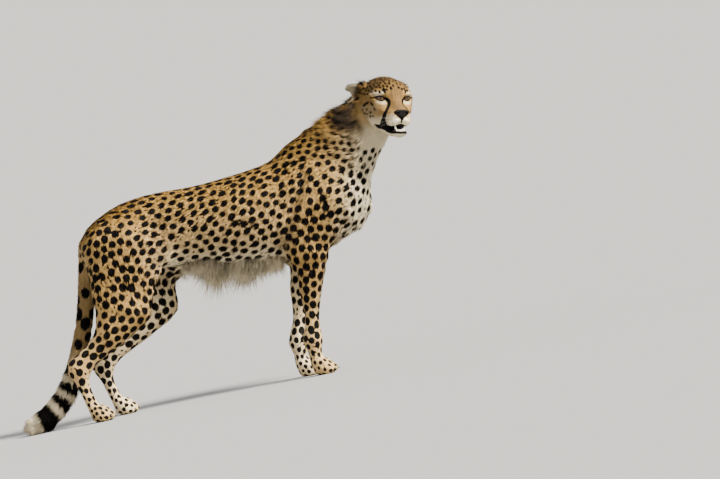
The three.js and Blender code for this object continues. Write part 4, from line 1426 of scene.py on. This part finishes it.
def hairy_places():
    """Where hair grows: 0 on lids, nose, lips, the inside of the mouth and the soles."""
    head = to_head(Skin.points)
    hairy = np.ones(len(head))
    for side in SIDES:
        local = in_eye_frame(Skin.points, side)
        near = (local[:, Z] > 0) & (np.linalg.norm(local, axis=1) < ORBIT)
        hairy[near & (slit_edge(local, side) < 5.5)] = 0
    x, y, z = folded(head)
    nose = (x > 42) & (z > -70) & (z < -40) & (y < 21.5 + 0.4 * (z + 53))
    gape = (z < lip_height(UPPER_LIP, x) + 0.5) & (z > lip_height(LOWER_LIP, x) - 4.5) & (x > -24)
    mouth = reach(head, MOUTH, MOUTH_RADII) < MOUTH_EDGE
    hairy[on("head") & (nose | gape | mouth)] = 0
    hairy[Skin.points[:, Z] < 4 * MM] = 0
    return hairy


STRAY, LONG_STRAY = 0.16, 0.26  # how far hair strays from its lie
THICK_SHARE = 0.35  # a tuft's thickness over its width
# How far along a tuft the place lies that it has its markings from: a share of its length,
# and at most so many metres.
SHOWN_SHARE, SHOWN_MOST = 0.6, 0.012


def tuft_looks(random, picks, shares, shown, rings, dark):
    """The markings and shades of all vertices of tufts, from the places that they cover."""
    levels = tuft_levels(rings)
    mark = face_values(Skin.mark, *sample(shown))
    shade = face_values(Skin.shade, picks, shares)
    shade[:, 1] = random.normal(0, 1, len(picks))
    if dark is not None:
        spotted = 0.6 * ease(4, 0, mark[:, 0])
        mark[:, 0] = FAR
        shade[:, 0] = np.clip(face_values(dark, picks, shares) + spotted, 0, 1)
    mark, shade = (np.repeat(rows, len(levels), 0) for rows in (mark, shade))
    # each vertex's level up its tuft, for the painted shade that darkens it towards its root
    shade[:, 2] = np.tile(levels, len(picks))
    # painted shade: the hanging locks are darkest at their roots, under the belly
    if dark is not None:
        shade[:, 0] *= 1 - shade[:, 2] ** 1.6
    return mark, shade


def grow(
    name, wanted, weight, length, width, lift, random,
    rings=1, curl=0.0, way=None, stray=STRAY, dark=None,
):
    """One piece of coat: tufts on the skin where weight says, along the lie.

    dark is how much of the mantle's grey-brown its tufts get as painted shade under the belly,
    most at the roots, where it has no markings of its own.
    """
    wanted = max(int(wanted * coat().density), 50)
    picks, shares = roots(random, wanted, weight)
    foot = face_values(Skin.points, picks, shares)
    normal = unit(face_values(Skin.normals, picks, shares))
    lie = face_values(Skin.flow if way is None else way, picks, shares)
    lie = unit(lie + random.normal(0, stray, (wanted, 3)))
    lie = unit(lie - (lie * normal).sum(1)[:, None] * normal)
    long = face_values(length, picks, shares) * random.uniform(0.7, 1.2, wanted)
    wide = width * (long / long.mean()) ** 0.4 * random.uniform(0.75, 1.25, wanted)
    size = np.stack([long, wide, THICK_SHARE * wide], 1)
    rise = lift * random.uniform(0.5, 1.5, wanted)
    bend = np.full(wanted, curl) * random.uniform(0.6, 1.3, wanted)
    obj, faces = tuft_mesh(name, foot, normal, lie, size, rise, bend, rings)
    ahead = np.minimum(SHOWN_SHARE * long, SHOWN_MOST)[:, None]
    mark, shade = tuft_looks(random, picks, shares, foot + lie * ahead, rings, dark)
    set_attribute(obj, "mark", mark)
    set_attribute(obj, "shade", shade)
    set_attribute(obj, "lay", np.repeat(normal, len(mark) // wanted, 0))
    corner = Skin.triangles[picks, 0]
    places = unwrap(foot, Skin.region[corner], Skin.length[corner])
    add_bake_map(obj, faces, rings, places)
    return obj


# ---------------------------------------------------------------- materials
def new_group(name, inputs, outputs):
    """A shader node group with named sockets, and its input and output nodes."""
    group = bpy.data.node_groups.new(name, "ShaderNodeTree")
    for label, kind, value in inputs:
        socket = group.interface.new_socket(label, in_out="INPUT", socket_type=kind)
        socket.default_value = value
    for label, kind in outputs:
        group.interface.new_socket(label, in_out="OUTPUT", socket_type=kind)
    return group, group.nodes.new("NodeGroupInput"), group.nodes.new("NodeGroupOutput")


class Wires:
    """Short calls that add and link shader nodes in one tree."""

    def __init__(self, tree):
        self.tree = tree

    def node(self, kind, **settings):
        node = self.tree.nodes.new(kind)
        for key, value in settings.items():
            setattr(node, key, value)
        return node

    def feed(self, socket, value):
        if isinstance(value, bpy.types.NodeSocket):
            self.tree.links.new(value, socket)
        else:
            socket.default_value = value

    def math(self, operation, a, b=0.0, clamp=False):
        node = self.node("ShaderNodeMath", operation=operation, use_clamp=clamp)
        self.feed(node.inputs[0], a)
        self.feed(node.inputs[1], b)
        return node.outputs[0]

    def mix(self, share, a, b, blend="MIX"):
        node = self.node("ShaderNodeMix", data_type="RGBA", blend_type=blend)
        self.feed(node.inputs["Factor"], share)
        self.feed(node.inputs[6], a)
        self.feed(node.inputs[7], b)
        return node.outputs[2]

    def ramp(self, value, low, high):
        """0 at low, 1 at high, smooth between."""
        node = self.node("ShaderNodeMapRange", interpolation_type="SMOOTHSTEP")
        self.feed(node.inputs[0], value)
        self.feed(node.inputs[1], low)
        self.feed(node.inputs[2], high)
        return node.outputs[0]

    def noise(self, scale, detail=3.0):
        node = self.node("ShaderNodeTexNoise")
        self.feed(node.inputs["Vector"], self.node("ShaderNodeTexCoord").outputs["Object"])
        self.feed(node.inputs["Scale"], scale)
        self.feed(node.inputs["Detail"], detail)
        return node.outputs["Fac"]

    def attribute(self, name):
        return self.node("ShaderNodeAttribute", attribute_name=name)

    def split(self, vector):
        node = self.node("ShaderNodeSeparateXYZ")
        self.feed(node.inputs[0], vector)
        return node.outputs

    def bump(self, height, distance, strength=1.0):
        node = self.node("ShaderNodeBump")
        self.feed(node.inputs["Height"], height)
        self.feed(node.inputs["Distance"], distance)
        self.feed(node.inputs["Strength"], strength)
        return node.outputs["Normal"]


def rgba(colour):
    return (*colour, 1.0)


def coat_group():
    """The coat's colour from its markings: spots, white parts, warm back, mantle and painted
    shade.
    """
    if "Cheetah Coat" in bpy.data.node_groups:
        return bpy.data.node_groups["Cheetah Coat"]
    inputs = [
        (label, "NodeSocketColor", rgba(getattr(colours(), label.lower())))
        for label in ("Tawny", "Warm", "Pale", "Black", "Mantle")
    ]
    inputs.append(("Roughen", "NodeSocketFloat", 1.0))
    group, source, sink = new_group("Cheetah Coat", inputs, [("Colour", "NodeSocketColor")])
    w = Wires(group)
    edge, pale, warm = w.split(w.attribute("mark").outputs["Vector"])
    mantle, tone, along = w.split(w.attribute("shade").outputs["Vector"])
    ragged = w.math("SUBTRACT", w.noise(420, 2.0), 0.5)
    ragged = w.math("MULTIPLY", ragged, source.outputs["Roughen"])
    edge = w.math("ADD", edge, w.math("MULTIPLY", ragged, 3.0))
    spot = w.math("SUBTRACT", 1.0, w.ramp(edge, 0.1, 1.5))
    patch = w.math("MULTIPLY", w.math("SUBTRACT", w.noise(14, 3.0), 0.5), 0.5)
    warm = w.math("ADD", warm, patch, clamp=True)
    colour = w.mix(warm, source.outputs["Tawny"], source.outputs["Warm"])
    colour = w.mix(pale, colour, source.outputs["Pale"])
    # the mantle's grey-brown: on the nape, forehead and in the ears, and as painted shade in
    # hollows, folds, on the tail, under the belly and behind the head
    colour = w.mix(mantle, colour, source.outputs["Mantle"])
    # random tone per tuft and in a noise, and painted shade: each tuft darker towards its root,
    # deep in the coat
    light = w.math("ADD", w.math("MULTIPLY", tone, 0.06), 0.88)
    light = w.math("ADD", light, w.math("MULTIPLY", along, 0.22))
    light = w.math("ADD", light, w.math("MULTIPLY", w.math("SUBTRACT", w.noise(60), 0.5), 0.25))
    grey = w.node("ShaderNodeCombineColor")
    for socket in grey.inputs:
        w.feed(socket, light)
    colour = w.mix(1.0, colour, grey.outputs[0], blend="MULTIPLY")
    colour = w.mix(spot, colour, source.outputs["Black"])
    w.feed(sink.inputs["Colour"], colour)
    return group


def new_material(name, settings):
    """A material with a Principled shader whose plain sockets have these values."""
    material = bpy.data.materials.new(name)
    material.use_nodes = True
    shader = material.node_tree.nodes["Principled BSDF"]
    for label, value in settings.items():
        shader.inputs[label].default_value = value
    return material, Wires(material.node_tree), shader


def skin_material():
    if "Cheetah Skin" in bpy.data.materials:
        return bpy.data.materials["Cheetah Skin"]
    settings = {"Roughness": 0.75, "Sheen Weight": 0.01, "Specular IOR Level": 0.12}
    material, w, shader = new_material("Cheetah Skin", settings)
    group = w.node("ShaderNodeGroup", node_tree=coat_group())
    w.feed(shader.inputs["Base Color"], group.outputs["Colour"])
    height = w.math("ADD", w.noise(900, 2.0), w.math("MULTIPLY", w.noise(260, 2.0), 0.6))
    w.feed(shader.inputs["Normal"], w.bump(height, 0.0012, 0.6))
    return material


def fur_material():
    if "Cheetah Fur" in bpy.data.materials:
        return bpy.data.materials["Cheetah Fur"]
    settings = {"Roughness": 0.7, "Specular IOR Level": 0.05}
    material, w, shader = new_material("Cheetah Fur", settings)
    group = w.node("ShaderNodeGroup", node_tree=coat_group())
    group.inputs["Roughen"].default_value = 0.4
    w.feed(shader.inputs["Base Color"], group.outputs["Colour"])
    # most of the shading follows the skin below, as it does on a dense coat
    own = w.node("ShaderNodeNewGeometry").outputs["Normal"]
    lay = w.attribute("lay").outputs["Vector"]
    both = w.node("ShaderNodeMix", data_type="VECTOR")
    w.feed(both.inputs["Factor"], 0.7)
    w.feed(both.inputs[4], own)
    w.feed(both.inputs[5], lay)
    whole = w.node("ShaderNodeVectorMath", operation="NORMALIZE")
    w.feed(whole.inputs[0], both.outputs[1])
    w.feed(shader.inputs["Normal"], whole.outputs[0])
    return material


# How far from the gaze the pupil's edge and the iris's dark rim lie, in millimetres.
PUPIL_EDGE, IRIS_RIM = (3.0, 3.5), (7.6, 9.6)


def eye_material():
    """Amber iris with a round pupil, dark round its edge, under a wet surface."""
    settings = {
        "Roughness": 0.4, "Specular IOR Level": 0.1,
        "Coat Weight": 0.6, "Coat Roughness": 0.02, "Coat IOR": 1.33,
    }
    material, w, shader = new_material("Eye", settings)
    out = w.attribute("out").outputs["Fac"]
    fibres = w.noise(900, 3.0)
    iris = w.mix(fibres, rgba(colours().iris), (0.086, 0.047, 0.013, 1))
    rim = w.ramp(out, *IRIS_RIM)
    colour = w.mix(rim, iris, (0.02, 0.01, 0.006, 1))
    pupil = w.math("SUBTRACT", 1.0, w.ramp(out, *PUPIL_EDGE))
    colour = w.mix(pupil, colour, (0.002, 0.002, 0.002, 1))
    w.feed(shader.inputs["Base Color"], colour)
    return material


def leather_material():
    """The nose pad: black, slightly moist, with a fine pebble grain."""
    settings = {"Roughness": 0.5, "Specular IOR Level": 0.04}
    material, w, shader = new_material("Nose Leather", settings)
    grain = w.node("ShaderNodeTexVoronoi", feature="F1")
    w.feed(grain.inputs["Vector"], w.node("ShaderNodeTexCoord").outputs["Object"])
    w.feed(grain.inputs["Scale"], 900)
    colour = w.mix(w.noise(140, 3.0), (0.001, 0.0008, 0.0008, 1), (0.004, 0.003, 0.0025, 1))
    w.feed(shader.inputs["Base Color"], colour)
    w.feed(shader.inputs["Normal"], w.bump(grain.outputs["Distance"], 0.0003, 0.35))
    return material


def plain_finish(name, dark, light, scale, roughness, bump, coat_weight=0.0):
    """Horn, tooth or tongue: two close colours in a noise, with a fine bump."""
    settings = {"Roughness": roughness, "Coat Weight": coat_weight}
    material, w, shader = new_material(name, settings)
    colour = w.mix(w.noise(scale, 3.0), dark, light)
    w.feed(shader.inputs["Base Color"], colour)
    w.feed(shader.inputs["Normal"], w.bump(w.noise(scale * 6, 2.0), bump, 0.5))
    return material


# ---------------------------------------------------------------- operators
class CHEETAH_OT_skin(bpy.types.Operator):
    """Fuses the flesh into one smooth skin and marks it"""

    bl_idname = "cheetah.skin"
    bl_label = "Skin"

    def execute(self, context):
        obj = build_skin()
        read_skin(obj)
        mark_skin()
        sink_skin()
        finish_piece(obj, skin_material(), FLESH)
        return {"FINISHED"}


class CHEETAH_OT_eyes(bpy.types.Operator):
    """Adds the eyeballs and the lids round them"""

    bl_idname = "cheetah.eyes"
    bl_label = "Eyes and lids"

    def execute(self, context):
        glass = eye_material()
        for side in SIDES:
            finish_piece(build_eye(side), glass, [f"eye_{side}"])
            finish_piece(build_lids(side), skin_material())
        return {"FINISHED"}


class CHEETAH_OT_mouth(bpy.types.Operator):
    """Adds the nose pad, tongue and teeth"""

    bl_idname = "cheetah.mouth"
    bl_label = "Nose, tongue and teeth"

    def execute(self, context):
        finish_piece(build_nose(), leather_material(), ["nose"])
        # the tongue's pink is painted darker, as painted shade inside the mouth
        tongue_pink_in_shade = plain_finish(
            "Tongue", (0.13, 0.04, 0.035, 1), (0.21, 0.08, 0.07, 1), 220, 0.45, 0.0006, 0.15
        )
        finish_piece(build_tongue(), tongue_pink_in_shade, ["tongue"])
        ivory = plain_finish(
            "Tooth", (0.72, 0.64, 0.48, 1), (0.85, 0.80, 0.68, 1), 160, 0.28, 0.0002, 0.2
        )
        finish_piece(build_teeth(), ivory)
        return {"FINISHED"}


class CHEETAH_OT_claws(bpy.types.Operator):
    """Adds the claws of all four paws"""

    bl_idname = "cheetah.claws"
    bl_label = "Claws"

    def execute(self, context):
        horn_finish = plain_finish(
            "Claw", (0.02, 0.014, 0.010, 1), (0.08, 0.055, 0.035, 1), 120, 0.35, 0.0003, 0.1
        )
        for leg in ("fore", "hind"):
            finish_piece(build_claws(leg), horn_finish)
        return {"FINISHED"}


class CHEETAH_OT_whiskers(bpy.types.Operator):
    """Adds the whiskers"""

    bl_idname = "cheetah.whiskers"
    bl_label = "Whiskers"

    def execute(self, context):
        random = np.random.default_rng(coat().seed + 1)
        white = plain_finish(
            "Whisker", (0.40, 0.37, 0.33, 1), (0.55, 0.52, 0.47, 1), 90, 0.4, 0.0001
        )
        finish_piece(build_whiskers(random), white)
        return {"FINISHED"}


class CHEETAH_OT_short_fur(bpy.types.Operator):
    """Covers the body with short tufts that lie along it"""

    bl_idname = "cheetah.short_fur"
    bl_label = "Short fur"

    def execute(self, context):
        random = np.random.default_rng(coat().seed + 2)
        hairy = hairy_places()
        length = hair_length()
        fur = fur_material()
        middle = (CAD_BOX[0].x + CAD_BOX[1].x) / 2 + 0.06
        front = Skin.points[:, X] > middle
        face = to_head(Skin.points)[:, 0] > -45
        parts = [
            ("fur_face", 44000, on("head") & face, 1.1, 0.22),
            ("fur_head", 30000, on("head") & ~face, 1.4, 0.42),
            ("fur_neck", 38000, on("neck"), 1.8, 0.14),
            ("fur_trunk_front", 37000, on("trunk") & front, 2.5, 0.16),
            ("fur_trunk_back", 37000, on("trunk") & ~front, 2.5, 0.16),
            ("fur_forelegs", 34000, on("foreleg_right", "foreleg_left"), 2.0, 0.16),
            ("fur_hindlegs", 42000, on("hindleg_right", "hindleg_left"), 2.2, 0.16),
            ("fur_tail", 14000, on("tail"), 2.6, 0.24),
        ]
        for name, wanted, where, width, lift in parts:
            obj = grow(name, wanted, where * hairy, length, width * MM, lift, random)
            finish_piece(obj, fur)
        return {"FINISHED"}


# The belly fringe's length along the belly, from back to front, over its greatest length.
FRINGE_SHAPE = [
    (-0.1, 0.35), (0.1, 0.42), (0.2, 0.55), (0.29, 0.9), (0.37, 1.0), (0.47, 0.74), (0.7, 0.6),
    (0.95, 0.5), (1.1, 0.25),
]


BELLY_START, BELLY_LENGTH = 0.31, 0.31  # from the torso's back end, in metres
BELLY_STEPS = 40  # slices of the belly whose lowest places are found
DROOP = (-0.35, 0, -1.0)  # the way in which the belly's locks hang
LONG_RINGS = 2


def fringe_places(random):
    """Where the belly's fringe grows, from 0 to 1, and how long it is."""
    trunk, height = on("trunk"), Skin.points[:, Z]
    along = (Skin.points[:, X] - box_corners("torso")[0][X] - BELLY_START) / BELLY_LENGTH
    first, last = -BELLY_STEPS // 4, BELLY_STEPS + BELLY_STEPS // 4
    steps = np.clip((along * BELLY_STEPS).astype(int), first, last) - first
    bottom = np.full(last - first + 1, np.inf)
    np.minimum.at(bottom, steps[trunk], height[trunk])
    rise = height - bottom[steps]
    clumps = ease(-0.12, 0.25, blotches(random, 4))
    where = trunk * ease(0.030, 0.006, rise) * (0.15 + 0.85 * clumps)
    where = where * ease(-0.12, 0.06, along) * ease(1.12, 0.98, along)
    length = coat().fringe_length * np.interp(along, *zip(*FRINGE_SHAPE)) * (0.55 + 0.5 * clumps)
    return where, length * (0.5 + 0.55 * ease(0.026, 0.008, rise))


def mantle_places(head):
    """Where the longer hair of the nape and shoulders grows, from 0 to 1."""
    away = reach(head, SKULL)
    mantle = on("neck", "head") * ease(85, 110, away) * ease(260, 150, away)
    return mantle * ease(-0.3, 0.3, Skin.normals[:, Z]) * ease(-60, -85, head[:, X])


def ruff_places(head):
    """Where the longer hair of the cheeks grows, from 0 to 1."""
    x, _, z = head.T
    ruff = on("head", "neck") * ease(-35, -70, x) * ease(10, -30, z)
    return ruff * ease(-125, -100, x) * ease(-150, -110, z)


class CHEETAH_OT_long_fur(bpy.types.Operator):
    """Adds the belly fringe, the mantle, the chest, cheek and tail locks"""

    bl_idname = "cheetah.long_fur"
    bl_label = "Long fur"

    def execute(self, context):
        random = np.random.default_rng(coat().seed + 3)
        fur = fur_material()
        count = len(Skin.points)
        head = to_head(Skin.points)
        hairy = hairy_places()
        belly, fringe = fringe_places(random)
        droop = unit(np.tile(DROOP, (count, 1)))
        off_ear = ease(0.12, 0.02, ear_share(head))
        mantle = mantle_places(head) * off_ear
        chest = Skin.mark[:, 1] * on("neck", "trunk") * ease(0.2, 0.6, Skin.normals[:, X])
        ruff = ruff_places(head) * off_ear
        brush = on("tail") * ease(0.30, 0.05, to_tail_tip())
        patches = blotches(random, 14)
        mane = 0.022 + 0.016 * ease(-0.04, 0.06, patches)
        loose = {"stray": LONG_STRAY}
        # the belly fringe gets the mantle's grey-brown as painted shade, in random clumps and
        # darkest at the roots
        hanging = {"way": droop, "dark": 0.3 + 0.7 * ease(-0.02, 0.06, patches), **loose}
        pieces = [
            ("fur_belly", 10500, belly, fringe, 1.0, 0.95, 0.30, hanging),
            ("fur_mantle", 9500, mantle, mane, 1.3, 0.44, 0.04, loose),
            ("fur_chest", 8000, chest, np.full(count, 0.017), 1.6, 0.22, 0.08, {}),
            ("fur_ruff", 7000, ruff, np.full(count, 0.014), 1.3, 0.28, 0.05, {}),
            ("fur_tail_end", 4500, brush, np.full(count, 0.024), 1.8, 0.28, 0.02, {}),
        ]
        for name, wanted, where, length, width, lift, curl, more in pieces:
            obj = grow(
                name, wanted, where * hairy, length, width * MM, lift, random, LONG_RINGS, curl,
                **more,
            )
            finish_piece(obj, fur)
        return {"FINISHED"}


FRAME_WIDTH = 2.232  # metres across the render at the animal
CAMERA_AIM = Vector((0.452, -0.02, 0.385))
CAMERA_DISTANCE = 18.0
CAMERA_HEIGHT = 1.5  # degrees above the horizon
CAMERA_ROLL = 12.0  # degrees, for the slope that the animal stands on
FLOOR_TONE = 0.23
FLOOR_HALF = 60


class CHEETAH_OT_stage(bpy.types.Operator):
    """Adds a pale floor, soft light and the camera"""

    bl_idname = "cheetah.stage"
    bl_label = "Stage"

    def execute(self, context):
        build_floor()
        build_sun()
        build_sky()
        build_camera()
        return {"FINISHED"}


def build_floor():
    corners = [(-1, -1), (1, -1), (1, 1), (-1, 1)]
    vertices = [(x * FLOOR_HALF, y * FLOOR_HALF, 0) for x, y in corners]
    floor = new_object("floor", vertices, [(0, 1, 2, 3)])
    material = bpy.data.materials.new("Floor")
    material.use_nodes = True
    tree = material.node_tree
    tree.nodes.clear()
    output = tree.nodes.new("ShaderNodeOutputMaterial")
    matte = tree.nodes.new("ShaderNodeBsdfDiffuse")
    matte.inputs["Color"].default_value = (FLOOR_TONE, FLOOR_TONE, FLOOR_TONE, 1)
    tree.links.new(matte.outputs[0], output.inputs[0])
    floor.data.materials.append(material)


SUN_STRENGTH = 19.5
SUN_COLOUR = (1.0, 0.94, 0.84)
SUN_SPREAD = 18  # degrees across, for soft shadows
SUN_HEIGHT = 41
SUN_SIDE = 58  # degrees, 0 shines from the camera's side, negative from its left
SKY_STRENGTH = 1.5


def build_sun():
    sun = bpy.data.lights.new("key", "SUN")
    sun.energy = SUN_STRENGTH
    sun.angle = math.radians(SUN_SPREAD)
    sun.color = SUN_COLOUR
    a, e = math.radians(SUN_SIDE), math.radians(SUN_HEIGHT)
    way = Vector((math.sin(a) * math.cos(e), -math.cos(a) * math.cos(e), math.sin(e)))
    add_object("key", sun).rotation_euler = way.to_track_quat("Z", "Y").to_euler()


def build_sky():
    """An even sky, in which the camera sees the tone of the lit floor."""
    lit = SUN_STRENGTH * math.sin(math.radians(SUN_HEIGHT)) / math.pi
    seen = [FLOOR_TONE * (SKY_STRENGTH + lit * part) for part in SUN_COLOUR]
    world = bpy.data.worlds.new("studio")
    bpy.context.scene.world = world
    world.use_nodes = True
    tree = world.node_tree
    background = tree.nodes["Background"]
    path = tree.nodes.new("ShaderNodeLightPath")
    mix = tree.nodes.new("ShaderNodeMix")
    mix.data_type = "RGBA"
    tree.links.new(path.outputs["Is Camera Ray"], mix.inputs["Factor"])
    mix.inputs[6].default_value = (SKY_STRENGTH, SKY_STRENGTH, SKY_STRENGTH, 1)
    mix.inputs[7].default_value = (*seen, 1)
    tree.links.new(mix.outputs[2], background.inputs["Color"])
    background.inputs["Strength"].default_value = 1


def build_camera():
    data = bpy.data.cameras.new("camera")
    data.lens = data.sensor_width * CAMERA_DISTANCE / FRAME_WIDTH
    data.clip_end = 200
    camera = add_object("camera", data)
    e = math.radians(CAMERA_HEIGHT)
    back = Vector((0, -math.cos(e), math.sin(e)))
    camera.location = CAMERA_AIM + back * CAMERA_DISTANCE
    turn = back.to_track_quat("Z", "Y").to_matrix()
    roll = Matrix.Rotation(math.radians(-CAMERA_ROLL), 3, "Z")
    camera.rotation_euler = (turn @ roll).to_euler()
    bpy.context.scene.camera = camera


STEPS = ("skin", "eyes", "mouth", "claws", "whiskers", "short_fur", "long_fur", "stage")


class CHEETAH_PT_panel(bpy.types.Panel):
    """Lists the pieces of the cheetah and the sizes behind them"""

    bl_idname = "CHEETAH_PT_panel"
    bl_label = "Cheetah"
    bl_space_type = "VIEW_3D"
    bl_region_type = "UI"
    bl_category = "Cheetah"

    def draw(self, context):
        layout = self.layout
        for group in (context.scene.cheetah_colours, context.scene.cheetah_coat):
            for name in group.bl_rna.properties.keys():
                if name not in ("rna_type", "name"):
                    layout.prop(group, name)
        for step in STEPS:
            layout.operator(f"cheetah.{step}")


CLASSES = (
    CheetahColours,
    CheetahCoat,
    CHEETAH_OT_skin,
    CHEETAH_OT_eyes,
    CHEETAH_OT_mouth,
    CHEETAH_OT_claws,
    CHEETAH_OT_whiskers,
    CHEETAH_OT_short_fur,
    CHEETAH_OT_long_fur,
    CHEETAH_OT_stage,
    CHEETAH_PT_panel,
)


def register():
    for cls in CLASSES:
        bpy.utils.register_class(cls)
    bpy.types.Scene.cheetah_colours = PointerProperty(type=CheetahColours)
    bpy.types.Scene.cheetah_coat = PointerProperty(type=CheetahCoat)


def unregister():
    del bpy.types.Scene.cheetah_coat
    del bpy.types.Scene.cheetah_colours
    for cls in reversed(CLASSES):
        bpy.utils.unregister_class(cls)


def main():
    register()
    for step in STEPS:
        getattr(bpy.ops.cheetah, step)()


if __name__ == "__main__":
    main()
